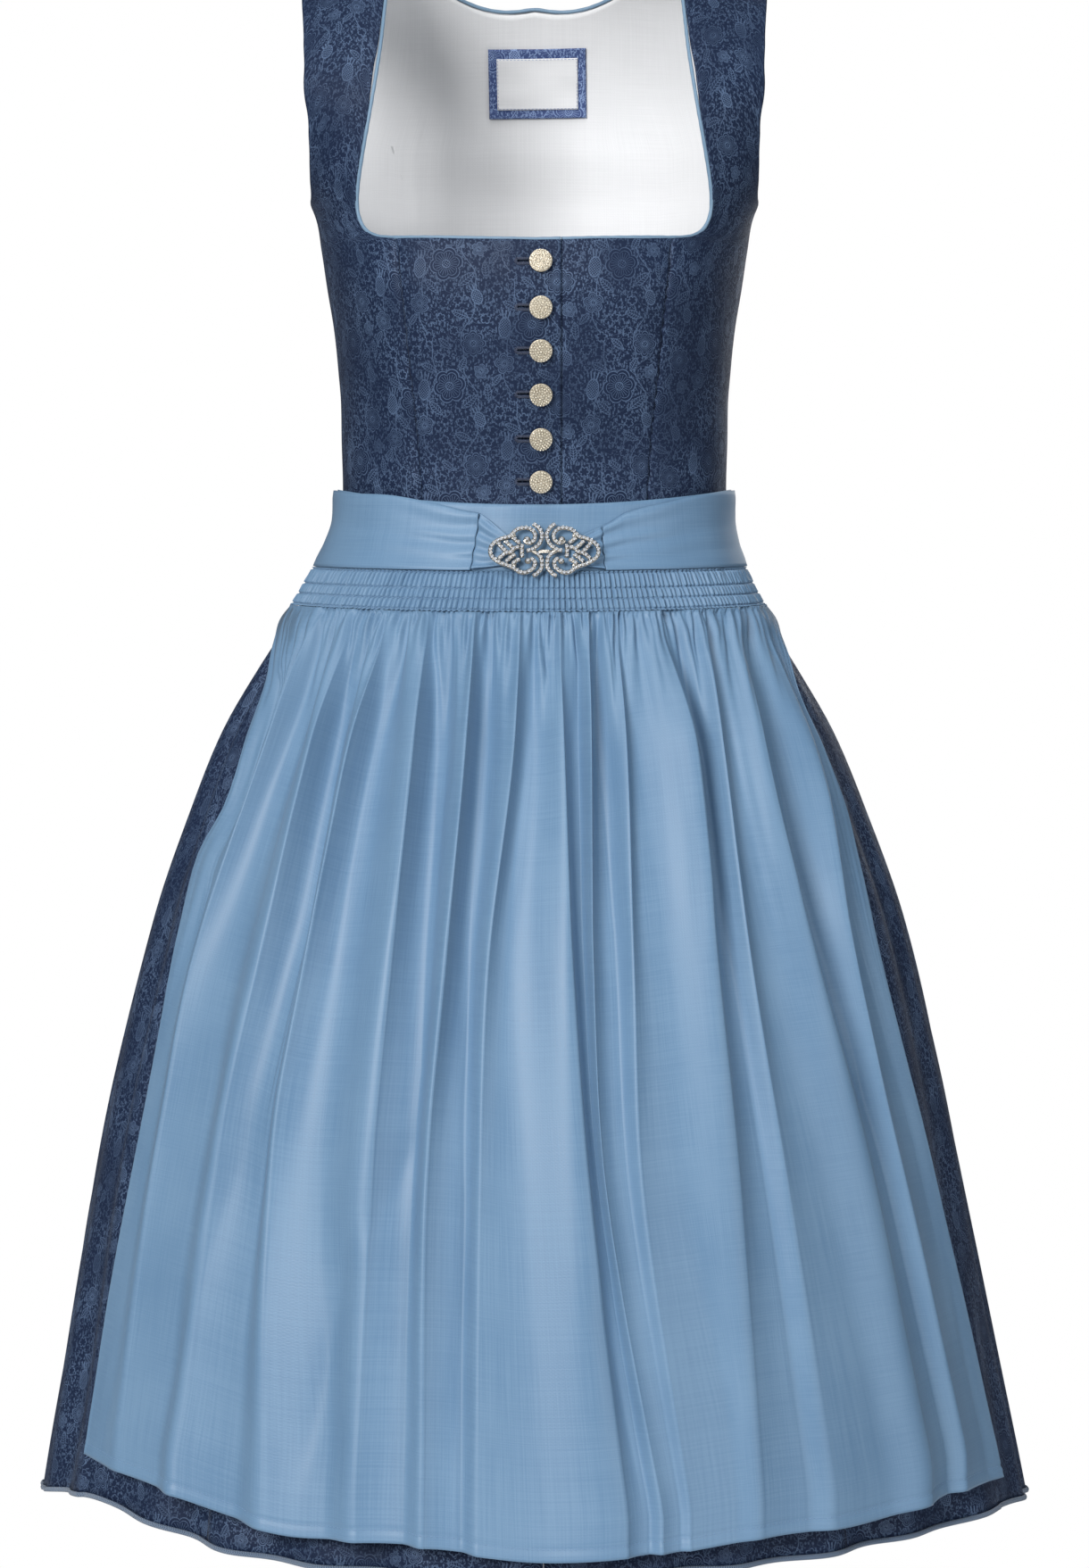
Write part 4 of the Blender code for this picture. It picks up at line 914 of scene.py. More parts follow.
def makeBraid():
    # slanted strands that cross along the edge, the colour darker where the bump is low: painted shade in
    # the grooves between the strands
    finish = startFinish("blueBraid", 0.7, Sheen_Weight=0.3)
    x, y = parts(clothPlace(finish))
    across, up = x * braidShadedLook["strands"], y * braidShadedLook["slant"]
    strands = ranged(largest(sine(across + up), sine(across - up)), 0.0, 1.0)
    colour = mixedColour(strands, braidShadedLook["low"], braidShadedLook["high"])
    return setFinish(finish, Base_Color=colour, Normal=bumped(strands, 0.0004, 0.9))


def makeLabelBorder():
    finish = startFinish("labelBorder", 0.7, Sheen_Weight=0.2)
    place = mapped(clothPlace(finish), shift=borderLook["shift"])
    pattern = useGroup(jacquardWeave, Place=place)[0]
    yarns = noise(place, 2200.0, flat=True)
    return setFinish(finish, Base_Color=mixedColour(pattern, borderLook["ground"], borderLook["flower"]),
                     Normal=bumped(yarns, 0.0001, 0.7))


silverLook = {
    "bright": (0.47, 0.45, 0.41), "dull": (0.16, 0.15, 0.13), "grain": 1300, "tarnish": 300,
    "roughness": 0.3, "depth": 0.00012,
}
champagneLook = {
    "bright": (0.92, 0.87, 0.75), "dull": (0.40, 0.33, 0.24), "grain": 1500, "tarnish": 1100,
    "roughness": 0.36, "depth": 0.00016,
}
# a darker copy of the champagne metal for the dome between the grains: painted shade in the recesses
recessShadeLook = {
    "bright": (0.66, 0.60, 0.49), "dull": (0.20, 0.16, 0.11), "grain": 1700, "tarnish": 900,
    "roughness": 0.5, "depth": 0.00016,
}


def metalGroup():
    # bright where it is rubbed, dull in the pits and specks of its grain
    group, place, grain, tarnish = startGroup(
        "agedMetal", ("Dull", "Height"), Place=(0, 0, 0), Grain=900.0, Tarnish=260.0)
    pits = cells(place, grain)
    cloud = noise(place, tarnish, 3.0)
    dull = ranged(pits, 0.25, 0.6, 1.0, 0.0) * ranged(cloud, 0.42, 0.6)
    return closeGroup(group, dull, pits + cloud * 0.4)


def makeMetal(name, look):
    finish = startFinish(name, look["roughness"], 1.0)
    place = objectPlace(finish)
    dull, height = useGroup(agedMetal, Place=place, Grain=look["grain"], Tarnish=look["tarnish"])
    return setFinish(finish, Base_Color=mixedColour(dull, look["bright"], look["dull"]),
                     Roughness=ranged(dull, 0.0, 1.0, look["roughness"], look["roughness"] + 0.3),
                     Normal=bumped(height, look["depth"], 0.8))


def makeStone():
    # foil under each stone sends the light back, a little cooler on some facets
    finish = startFinish("clearStone", 0.08, 0.6, Coat_Weight=1.0, Coat_Roughness=0.03)
    cool = ranged(cells(objectPlace(finish), 700.0), 0.1, 0.7)
    return setFinish(finish, Base_Color=mixedColour(cool, (0.98, 0.98, 0.97), (0.74, 0.79, 0.88)),
                     Roughness=cool * 0.1 + 0.05)


def makeThread(name, low, high):
    finish = startFinish(name, 0.65, Sheen_Weight=0.3)
    fibres = noise(objectPlace(finish), 2400.0)
    return setFinish(finish, Base_Color=mixedColour(ranged(fibres, 0.35, 0.65), low, high),
                     Normal=bumped(fibres, 0.0001, 0.7))


# Bodice

bodice = {
    "wall": 0.0012,
    "lapEdge": 0.0165, "underlap": -0.012, "rampStart": -0.024, "rampEnd": -0.015, "lapStep": 0.002,
    "neckCentre": -0.1729, "neckSeam": -0.1706, "frontSeamRow": 7,
    "pucker": 0.0005, "puckerWave": 0.011, "puckerReach": 0.007, "groove": 0.0005, "grooveReach": 0.0012,
    "rumple": 0.0005, "rumpleWave": 0.045, "backNeckDrop": 0.054, "backNeckPower": 2.5,
    "liningDepth": 0.0022, "liningWall": 0.0008, "liningSeam": -0.1712, "seamCover": 0.0004,
    "lapRoll": 0.0004, "lapRollReach": 0.0008, "tuck": 0.0008,
}
pull = {"height": 0.006, "x": 0.004, "reach": 0.02, "depth": 0.0006}


def bodiceRelief(x, z, fromSeam):
    # the cloth puckers at its seams, and is nowhere quite even
    pucker = bodice["pucker"] * bell(fromSeam, bodice["puckerReach"])
    pucker = pucker * (np.sin(2 * pi * z / bodice["puckerWave"] + 3 * np.sin(z * 90)) - 1)
    groove = -bodice["groove"] * bell(fromSeam, bodice["grooveReach"])
    return pucker + groove + bodice["rumple"] * ripples(x, z * 0.8, bodice["rumpleWave"], 3)


def buttonPull(x, z):
    # shallow pulls at the buttons
    beside = bell(x - pull["x"], pull["reach"])
    return -pull["depth"] * sum(bell(z - level, pull["height"]) * beside for level in buttonLevels)


def numbered(table):
    return [(index, *row) for index, row in enumerate(table)]


def frontPanel(name, node, lapped, finishes):
    rows, columns = 72, 72
    row = readTable(numbered(sideFrontRows), np.linspace(0, bodice["frontSeamRow"], rows))
    seamX = (row[:, 1] + bodice["seamCover"])[:, None]
    seamZ = row[:, 2][:, None]
    across = np.linspace(0, 1, columns)[None, :]
    if lapped:
        x = mix(-seamX, bodice["lapEdge"], across)
    else:
        x = mix(bodice["underlap"], seamX, across)
    share = (seamZ - waistLevel) / (bodice["neckSeam"] - waistLevel)
    dip = (bodice["neckCentre"] - bodice["neckSeam"]) * (1 - np.abs(x) / seamX) * share
    level = seamZ + dip
    ramp = np.clip((x - bodice["rampStart"]) / (bodice["rampEnd"] - bodice["rampStart"]), 0, 1)
    out = bodice["lapStep"] * ramp if lapped else 0 * ramp
    points = torso(angleOf(torsoRings, x, level), level, out)
    relief = bodiceRelief(x, level, seamX - np.abs(x)) + buttonPull(x, level)
    if lapped:
        relief = relief - bodice["lapRoll"] * bell(x - bodice["lapEdge"], bodice["lapRollReach"])
    points = raised(points, relief)
    places = flatPlaces(points)
    middle = int(np.abs(x[0]).argmin())
    uv = np.stack([places[..., 0] - places[:, middle:middle + 1, 0], level], -1)
    piece = sheetObject(name, points, uv, finishes, bodice["wall"])
    if lapped:
        cutButtonholes(piece)
    dress(piece, "navy_jacquard", node)
    return piece


def seamTable(table, column):
    # number, angle and level of the seam or edge that starts at one column of a table
    places = []
    for index, row in enumerate(table):
        x, z = row[column:column + 2]
        angle, level = frontPlace(x, z) if x < 1 else (pi / 2, z)
        places.append((index, float(angle), float(level)))
    return places


def edgeLine(table, places):
    # smooth up to the corner of the neck, and past it straight from row to row with the corners
    # rounded, where a smooth curve would fold over
    rows = np.array(table, float)
    line = readTable(table, places)
    past = places > bodice["frontSeamRow"]
    strap = np.stack([np.interp(places[past], rows[:, 0], column) for column in rows.T], 1)
    for _ in range(6):
        strap[1:-1] = softened(strap)
    line[past] = strap
    return line


def sidePanel(name, node, side, finishes):
    rows, columns = 130, 36
    places = np.linspace(0, len(sideFrontRows) - 1, rows)
    inner = edgeLine(seamTable(sideFrontRows, 0), places)
    # the outer edge lags a little at the corner of the neck, or the rows would fold over there
    outer = readTable(seamTable(sideFrontRows, 2), places - 0.9 * bell(places - 8.5, 1.3))
    across = np.linspace(0, 1, columns)[None, :]
    angle = mix(inner[:, 1:2], outer[:, 1:2], across)
    level = mix(inner[:, 2:3], outer[:, 2:3], across)
    points = torso(angle, level)
    # the seam to the front ends at the corner of the neck
    below = ease((bodice["liningSeam"] - points[..., 2]) / 0.006)
    fromSeam = np.abs(points[..., 0] - points[:, :1, 0]) + 0.03 * (1 - below)
    tucked = -bodice["tuck"] * bell(fromSeam, bodice["grooveReach"])
    points = raised(points, bodiceRelief(points[..., 0], points[..., 2] + 0.004, fromSeam) + tucked)
    points[:, -1, 1] -= seamGap / 2
    uv = flatPlaces(points)
    if side < 0:
        points, uv = mirrored(points, uv)
    piece = sheetObject(name, points, uv, finishes, bodice["wall"])
    dress(piece, "navy_jacquard", node)
    return piece


def backNeck(x):
    share = np.minimum(np.abs(x) / neckHalfWidth, 1.0)
    return bodice["backNeckDrop"] * (1 - share ** bodice["backNeckPower"])


def halfBack(rows, sideColumns, backColumns):
    # the side back and half of the back of the left side: angles and levels of each
    places = np.linspace(0, len(sideBackRows) - 1, rows)
    seam = readTable(seamTable(sideBackRows, 0), places)
    outer = readTable(seamTable(sideBackRows, 2), places)
    seamX = readTable(numbered([entry[:1] for entry in sideBackRows]), places)[:, 1:]
    across = np.linspace(0, 1, sideColumns)[None, :]
    sideBack = (pi - mix(outer[:, 1:2], seam[:, 1:2], across), mix(outer[:, 2:3], seam[:, 2:3], across))
    share = np.linspace(1, 0, backColumns)[None, :]
    sag = (places[:, None] / (len(sideBackRows) - 1)) ** 2
    level = seam[:, 2:3] - backNeck(share * sideBackRows[-1][0]) * sag
    return sideBack, (pi - angleOf(torsoRings, share * seamX, level), level)


def doubled(angle, level):
    # a half with its mirror image, both as angles and levels
    angle = np.concatenate([angle, 2 * pi - angle[:, -2::-1]], 1)
    return angle, np.concatenate([level, level[:, -2::-1]], 1)


def narrowed(points, share):
    # takes a little off both sides of a sheet, for its seams
    points[:, 0] += (points[:, 1] - points[:, 0]) * share
    points[:, -1] += (points[:, -2] - points[:, -1]) * share
    return points


def makeBacks(jacquard, white):
    sideBack, back = halfBack(96, 18, 44)
    points = torso(*sideBack)
    fromSeam = np.abs(points[..., 0] - points[:, -1:, 0])
    left = narrowed(raised(points, bodiceRelief(points[..., 0], points[..., 2], fromSeam)), 0.05)
    left = left, flatPlaces(left)
    for name, node, (points, uv) in (("sideBackLeft", "side_back_left", left),
                                     ("sideBackRight", "side_back_right", mirrored(*left))):
        piece = sheetObject(name, points, uv, (jacquard, white), bodice["wall"])
        dress(piece, "navy_jacquard", node)
    points = torso(*doubled(*back))
    fromSeam = np.abs(points[:, :1, 0]) - np.abs(points[..., 0])
    points = narrowed(raised(points, bodiceRelief(points[..., 0], points[..., 2], fromSeam)), 0.1)
    middle = points.shape[1] // 2
    piece = sheetObject("backPanel", points, flatPlaces(points, middle), (jacquard, white), bodice["wall"])
    dress(piece, "navy_jacquard", "back")
    # the lining is one sheet inside all three
    sideBack, back = halfBack(72, 12, 32)
    whole = [np.concatenate([one, other[:, 1:]], 1) for one, other in zip(sideBack, back)]
    points = torso(*doubled(*whole), -bodice["liningDepth"])
    soft = 0.0004 * ripples(points[..., 0], points[..., 2] * 0.5, 0.06, 5) - 0.0002
    soft = soft - 0.0005 * bell(np.abs(points[..., 0]) - 0.0785, 0.0025) * (points[..., 1] > 0)
    points = raised(points, soft)
    middle = points.shape[1] // 2
    piece = sheetObject("backLining", points, flatPlaces(points, middle), (white,), bodice["liningWall"])
    dress(piece, "white_lining", "back_lining")


# Buttonholes in the right front, each a slit with purl stitches round it

buttonLevels = (-0.1863, -0.2142, -0.2405, -0.2673, -0.2946, -0.3214)
button = {"x": 0.0042, "radius": 0.0075, "height": 0.0056, "rim": 0.0012, "lift": 0.0029}
buttonhole = {
    "length": 0.0168, "slit": 0.0014, "depth": 0.008, "past": 0.0022, "pitch": 0.00055, "purl": 0.0017,
    "endPurls": 7, "endReach": 0.0012, "lift": 0.0001,
}


def buttonFrame(level, lift=0.0):
    angle = float(angleOf(torsoRings, button["x"], level))
    return frameAt(torso, angle, level, 0.0) @ Matrix.Translation((0.0, 0.0, lift))


def cutButtonholes(panel):
    slit = takeShape(added(bpy.ops.mesh.primitive_cube_add, size=1.0))
    shift = Matrix.Translation((buttonhole["past"] - buttonhole["length"] / 2, 0, 0))
    size = Matrix.Diagonal((buttonhole["length"], buttonhole["slit"], buttonhole["depth"], 1))
    frames = [buttonFrame(level) @ shift @ size for level in buttonLevels]
    cutters = copies("slitCutters", slit, frames, panel.data.materials[0])
    cut = panel.modifiers.new("slits", "BOOLEAN")
    cut.operation = "DIFFERENCE"
    cut.object = cutters
    applyAll(panel)
    bpy.data.objects.remove(cutters)


def makePurls(finish):
    # stitches side by side round each slit, standing across its edge
    half = buttonhole["length"] / 2
    frames = []
    for level in buttonLevels:
        place = buttonFrame(level, bodice["lapStep"] + buttonhole["lift"])
        for side in (-1, 1):
            for x in np.arange(-half, half, buttonhole["pitch"]):
                y = side * (buttonhole["slit"] + buttonhole["purl"]) / 2
                at = Matrix.Translation((buttonhole["past"] - half + x, y, 0))
                frames.append(place @ at @ Matrix.Rotation(pi / 2, 4, "Z"))
        for turn in np.linspace(-pi / 2, pi / 2, buttonhole["endPurls"]):
            turned = Matrix.Rotation(turn, 4, "Z") @ Matrix.Translation((buttonhole["endReach"], 0, 0))
            for end, flip in ((buttonhole["past"], 0.0), (buttonhole["past"] - 2 * half, pi)):
                at = Matrix.Translation((end, 0, 0))
                frames.append(place @ at @ Matrix.Rotation(flip, 4, "Z") @ turned)
    size = Matrix.Diagonal((buttonhole["purl"], stitch["thickness"] * 1.1, stitch["thickness"] * 1.3, 1))
    piece = copies("buttonholeThreads", threadShape, [place @ size for place in frames], finish)
    dress(piece, "navy_jacquard")


# Label

label = {
    "x": 0.0018, "z": -0.0544, "turn": radians(0.8), "border": (0.066, 0.046), "centre": (0.055, 0.034),
    "depth": 0.0044, "wall": 0.0004, "gap": 0.0005, "stitchLift": 0.0004,
}


def labelPoints(across, up, size, depth):
    x = label["x"] + size[0] * across * cos(label["turn"]) - size[1] * up * sin(label["turn"])
    z = label["z"] + size[1] * up * cos(label["turn"]) + size[0] * across * sin(label["turn"])
    angle, level = frontPlace(x, z)
    points = torso(np.sign(x) * (pi - np.abs(angle)), level, -depth)
    return raised(points, 0.0002 * ripples(x, z, 0.02, 7)) if points.ndim > 2 else points


def labelPatch(name, node, size, depth, finish, slotName):
    across = np.linspace(0.5, -0.5, 40)[None, :]
    up = np.linspace(-0.5, 0.5, 28)[:, None]
    points = labelPoints(across, up, size, depth)
    uv = np.stack([-size[0] * across + 0 * up, size[1] * up + 0 * across], -1)
    piece = sheetObject(name, points, uv, (finish,), label["wall"])
    dress(piece, slotName, node)


def labelStitches(name, size, inset, depth, finish):
    # stitches round the edge of one patch
    reach = (0.5 - inset / size[0], 0.5 - inset / size[1])
    turns = np.linspace(0, 1, 120, endpoint=False)
    edges = ((-1, -1, 1, 0), (1, -1, 0, 1), (1, 1, -1, 0), (-1, 1, 0, -1))
    places = [(x * reach[0] + dx * 2 * reach[0] * turn, y * reach[1] + dy * 2 * reach[1] * turn)
              for x, y, dx, dy in edges for turn in turns]
    across, up = np.array(places).T
    line = labelPoints(across, up, size, depth + label["stitchLift"])
    seamStitches(name, line, np.zeros_like(line) + (0, -1, 0), labelStitch, finish)


# Piping round the neck

piping = {
    "radius": 0.0012, "clearance": -0.0007, "depth": 0.0015, "end": 0.017, "ridge": 0.00006, "steps": 700,
}


def neckPath():
    # angle, level and step out of the neck edge, from the lap round the right strap and the back
    corner = [row for row in sideFrontRows if row[1] >= bodice["neckSeam"]]
    path = []

    def frontEdge(x):
        crown = (bodice["neckSeam"] - bodice["neckCentre"]) * abs(x) / corner[0][0]
        angle, level = frontPlace(x, bodice["neckCentre"] + crown)
        return float(angle), float(level)

    for x in np.linspace(bodice["lapEdge"], bodice["rampEnd"], 6):
        path.append((*frontEdge(x), bodice["lapStep"]))
    for x in np.linspace(bodice["rampStart"], -0.078, 10):
        path.append((*frontEdge(x), 0.0))
    strap = [(*map(float, frontPlace(row[0], row[1])), 0.0) for row in corner[:-1]]
    path += [(-angle, level, out) for angle, level, out in strap]
    for x in np.linspace(-0.0935, 0.0935, 25):
        level = -float(backNeck(x))
        angle = pi - abs(float(angleOf(torsoRings, x, level)))
        path.append((-angle if x < 0 else angle, level, 0.0))
    path += reversed(strap)
    for x in np.linspace(0.078, piping["end"], 9):
        path.append((*frontEdge(x), 0.0))
    return path


def smoothLine(points, count, passes=0):
    # even steps along a smooth curve through the points
    points = np.array(points, float)
    table = np.concatenate([runs(points[None], 1)[0][:, None], points], 1)
    dense = readTable(table, np.linspace(0, table[-1, 0], count))[:, 1:]
    for _ in range(passes):
        dense[1:-1] = softened(dense)
    return dense


def tube(name, centres, radius, finishes, around=10):
    # a round cord along its points, whose section never turns about the path
    ahead = np.gradient(centres, axis=0)
    ahead /= np.linalg.norm(ahead, axis=1, keepdims=True)
    up = np.cross(ahead[0], (0.3, 0.2, 0.9))
    ups = []
    for direction in ahead:
        up = up - direction * (up @ direction)
        up = up / np.linalg.norm(up)
        ups.append(up)
    ups = np.array(ups)
    aside = np.cross(ahead, ups)
    turns = np.linspace(0, 2 * pi, around, endpoint=False)
    radius = np.broadcast_to(radius, len(centres))[:, None, None]
    section = np.cos(turns)[None, :, None] * ups[:, None] + np.sin(turns)[None, :, None] * aside[:, None]
    points = centres[:, None] + radius * section
    uv = np.stack(np.broadcast_arrays(turns[None, :] * radius[:, :, 0], runs(centres[None], 1).T), -1)
    piece = sheetObject(name, points, uv, finishes, closed=True)
    selectOnly(piece)
    bpy.ops.object.mode_set(mode="EDIT")
    bpy.ops.mesh.select_all(action="SELECT")
    bpy.ops.mesh.fill_holes(sides=around)
    bpy.ops.mesh.select_all(action="SELECT")
    bpy.ops.mesh.normals_make_consistent(inside=False)
    bpy.ops.object.mode_set(mode="OBJECT")
    return piece


def makePiping(finish):
    path = neckPath()
    points = [Vector(torso(angle, level, out - piping["depth"])) for angle, level, out in path]
    centres = []
    for index, (angle, level, out) in enumerate(path):
        ahead = points[min(index + 1, len(points) - 1)] - points[max(index - 1, 0)]
        outwards = frameAt(torso, angle, min(level, -0.002), out).col[2].to_3d()
        offEdge = ahead.cross(outwards).normalized()
        centres.append(points[index] + offEdge * (piping["radius"] + piping["clearance"]))
    dense = smoothLine(centres, piping["steps"], 12)
    ridged = piping["radius"] + piping["ridge"] * np.sin(np.arange(piping["steps"]) * 0.9)
    piece = tube("neckPiping", dense, ridged, (finish,))
    dress(piece, "blue_piping", "neck_piping")


# Skirt

skirt = {
    "wall": 0.0008, "folds": 28, "calmFold": 0.0015, "tuckedFold": 0.004,
    "rumple": 0.0012, "gather": 0.0011, "gatherReach": 0.07, "rows": 76,
    "braidHeight": 0.0032, "braidOut": 0.0013, "braidBulge": 0.0007, "braidWall": 0.0012,
    "column": 2 * pi / 112, "seam": 0.0003, "patternShift": 0.31, "loose": 0.08, "gatherStart": 0.03,
    "tuckEase": radians(24), "calmSide": radians(8), "settle": radians(44), "seamEase": radians(6),
}
# name, node, first and last column, steps in a column, cut width and area
skirtPanels = (
    ("skirtSideFrontRight", "skirt_side_front_right", -28, -13, 9, 0.24, 0.12),
    ("skirtFrontRight", "skirt_front_right", -13, 0, 3, 0.225, 0.115),
    ("skirtFrontLeft", "skirt_front_left", 0, 13, 3, 0.225, 0.115),
    ("skirtSideFrontLeft", "skirt_side_front_left", 13, 28, 9, 0.24, 0.12),
    ("skirtSideBackLeft", "skirt_side_back_left", 28, 43, 9, 0.265, 0.13),
    ("skirtBackLeft", "skirt_back_left", 43, 56, 9, 0.265, 0.13),
    ("skirtBackRight", "skirt_back_right", 56, 69, 9, 0.265, 0.13),
    ("skirtSideBackRight", "skirt_side_back_right", 69, 84, 9, 0.265, 0.13),
)


def skirtAngle(nominal):
    # the folds are not quite evenly spaced
    drift = radians(2) * np.sin(5 * nominal + 1) + radians(1) * np.sin(11 * nominal)
    return nominal + drift * np.cos(nominal) ** 2


def skirtHeight(nominal, level):
    # how far the cloth stands out from the hips, and the angle turned to between -pi and pi
    angle = skirtAngle(nominal)
    stage = readTable(skirtStages, level)
    fold, inset, tuck = stage[..., 1], stage[..., 2], stage[..., 3]
    edge = readTable(apronEdges, level)
    edgeAngle = np.radians(np.where(np.sin(angle) > 0, edge[..., 2], edge[..., 1]))
    turned = (angle + pi) % (2 * pi) - pi
    under = np.where(np.cos(angle) > 0, edgeAngle - np.abs(turned), 0.0)
    tucked = ease(under / skirt["tuckEase"])
    fromSide = np.arcsin(np.minimum(np.abs(np.cos(angle)), 1.0))
    fromSeam = np.minimum(fromSide, pi / 2 - fromSide)
    calm = np.minimum(skirt["calmFold"], fold)
    settle = ease((fromSide - skirt["calmSide"]) / skirt["settle"])
    depth = mix(calm, fold * (1 + 0.3 * np.sin(3 * nominal + 0.6)), settle)
    depth = np.where(tucked > 0, mix(calm, np.minimum(depth, skirt["tuckedFold"]), tucked), depth)
    wave = np.cos(skirt["folds"] * nominal) * depth * ease(fromSeam / skirt["seamEase"])
    down = waistLevel - level
    loose = ease(down / skirt["loose"]) * (1 - tucked)
    wave = wave + skirt["rumple"] * loose * ripples(nominal * 0.25, level * 0.12, 0.028, 11)
    near = ease(down / skirt["gatherStart"]) * (1 - ease(down / skirt["gatherReach"] - 0.3)) * (1 - tucked)
    pleats = np.cos(140 * nominal + 2 * np.sin(9 * nominal)) + 0.6 * np.cos(83 * nominal + 1)
    wave = wave + skirt["gather"] * near * pleats
    return wave - inset - tuck * tucked, turned


def skirtPoints(nominal, level, out=0.0):
    nominal, level = np.broadcast_arrays(nominal, level)
    height, turned = skirtHeight(nominal, level)
    drop = (readTable(skirtHem, np.degrees(turned))[..., 1] - waistLevel) / (hemLevel - waistLevel)
    lowered = waistLevel + (level - waistLevel) * drop
    return hips(skirtAngle(nominal), lowered, height + out)


def makeSkirt(jacquard, braid):
    level = np.linspace(hemLevel, waistLevel - 0.0006, skirt["rows"])[:, None]
    for name, node, first, last, fine, cut, area in skirtPanels:
        nominal = np.linspace(first, last, (last - first) * fine + 1)[None, :] * skirt["column"]
        nominal[0, 0] += skirt["seam"]
        nominal[0, -1] -= skirt["seam"]
        points = skirtPoints(nominal, level)
        wide = runs(points, 1)[:, -1:]
        across = (nominal - nominal.mean()) / np.ptp(nominal) * np.sqrt(wide * wide[0])
        uv = np.stack([across + first * skirt["patternShift"], runs(points, 0)], -1)
        piece = sheetObject(name, points, uv, (jacquard,), skirt["wall"])
        dress(piece, "navy_jacquard", node)
    up = np.linspace(0, 1, 6)[:, None]
    for name, node, start in (("hemBraidFront", "hem_braid_front", -pi / 2),
                              ("hemBraidBack", "hem_braid_back", pi / 2)):
        nominal = np.linspace(start, start + pi, 449)[None, :]
        bulge = skirt["braidBulge"] * np.sin(pi * up) + 0 * nominal
        points = skirtPoints(nominal, hemLevel + up * skirt["braidHeight"], skirt["braidOut"] + bulge)
        piece = sheetObject(name, points, flatPlaces(points), (braid,), skirt["braidWall"])
        dress(piece, "blue_braid", node)


# Apron. Each crest drops sharply on its left and rises slowly to the next one, so a fold has
# columns for its drop and more for its rise.

apron = {
    "wall": 0.0007, "out": 0.0056, "topFold": 0.22, "growth": 0.14, "edgeEase": radians(9),
    "edgeFold": 0.45, "foldLevels": (-0.402, -0.491, -0.615, -0.75, -0.94),
    "dropShares": (0.0, 0.12, 0.45, 1.0),
    "dropColumns": 14, "riseColumns": 26, "valleyRise": 1.15,
    "rows": ((0, 0.0), (34, 0.16), (78, 0.98), (84, 1.0)),
    "headerFront": -0.4022, "headerSide": -0.3985, "clear": 0.0003, "rest": 0.0006,
    "stream": 0.00028, "rumple": 0.0004, "deeper": 1.55, "softening": 130, "hemFold": 0.0072,
    "hemStep": 0.0003, "hemGroove": 0.0005,
}
# how wide each fold's drop is at the top, at a tenth of the way, halfway and at the hem
apronDrops = (
    (0.006, 0.007, 0.016, 0.03), (0.004, 0.005, 0.012, 0.026), (0.003, 0.004, 0.01, 0.022),
    (0.003, 0.0045, 0.009, 0.022), (0.0025, 0.003, 0.006, 0.018), (0.0025, 0.0035, 0.008, 0.02),
    (0.003, 0.006, 0.011, 0.022), (0.002, 0.003, 0.009, 0.02), (0.002, 0.003, 0.008, 0.018),
    (0.004, 0.006, 0.012, 0.026), (0.002, 0.003, 0.009, 0.022), (0.003, 0.004, 0.012, 0.028),
    (0.003, 0.005, 0.012, 0.03),
)
# height, width on either side, and path of the creases and soft valleys between the folds
apronCreases = (
    (0.0035, 0.012, 0.003, (-0.1422, -0.4), (-0.1797, -0.4946), (-0.2224, -0.6234), (-0.2398, -0.669)),
    (-0.003, 0.002, 0.008, (0.0031, -0.4025), (0.0069, -0.43), (0.0113, -0.4517)),
    (-0.002, 0.002, 0.005, (0.066, -0.4025), (0.0691, -0.4276), (0.0723, -0.4396)),
    (-0.003, 0.009, 0.016, (-0.0435, -0.58), (-0.0387, -0.7505), (-0.0444, -0.8226), (-0.0462, -0.95)),
    (-0.0045, 0.010, 0.02, (-0.108, -0.76), (-0.1149, -0.7953), (-0.1433, -0.945)),
    (-0.004, 0.014, 0.03, (-0.17, -0.69), (-0.1915, -0.7664), (-0.2147, -0.8354), (-0.2454, -0.957)),
    (0.003, 0.008, 0.002, (-0.135, -0.58), (-0.1406, -0.6063), (-0.1687, -0.7288), (-0.1761, -0.775)),
    (-0.003, 0.014, 0.014, (-0.0725, -0.71), (-0.0919, -0.7593), (-0.1063, -0.79)),
    (-0.004, 0.004, 0.010, (0.141, -0.4), (0.157, -0.4938), (0.1846, -0.6202), (0.2288, -0.7581),
     (0.2495, -0.83)),
    (-0.003, 0.010, 0.016, (0.038, -0.79), (0.0428, -0.8227), (0.0701, -0.945)),
    (0.002, 0.004, 0.0015, (0.168, -0.475), (0.173, -0.4947), (0.1964, -0.6213), (0.2279, -0.7431)),
)
gather = {
    "pitch": 0.00325, "count": 120, "shortest": 0.014, "longest": 0.09, "depth": 0.0036,
    "left": 0.0011, "right": 0.0034,
}
band = {
    "out": 0.0038, "halfAngle": radians(97.5), "wall": 0.001, "roll": 0.0006, "rumple": 0.0003,
    "topFront": -0.3358, "topSide": -0.3252, "bottomFront": -0.3774, "bottomSide": -0.3747,
}
header = {
    "tucks": 138, "height": 0.0017, "halfAngle": radians(96), "top": 0.0034, "bottom": 0.0042,
    "gap": 0.0002, "wall": 0.0006, "groove": 0.0007,
    "rib": (-0.7, 0.45, 0.9, 1.05, 1.0, 0.8, 0.0), "rows": (0.035, 0.3, 0.57, 0.955),
}


def bandEdge(angle, front, side):
    return mix(front, side, ease(np.abs(angle) / (pi / 2)))


def evenAngles(surface, level, reach, count, out=0.0):
    # angles at even steps along the cloth
    angle = np.linspace(-reach, reach, 721)
    along = runs(surface(angle, level + 0 * angle, out)[None], 1)[0]
    return np.interp(np.linspace(0, along[-1], count), along, angle)


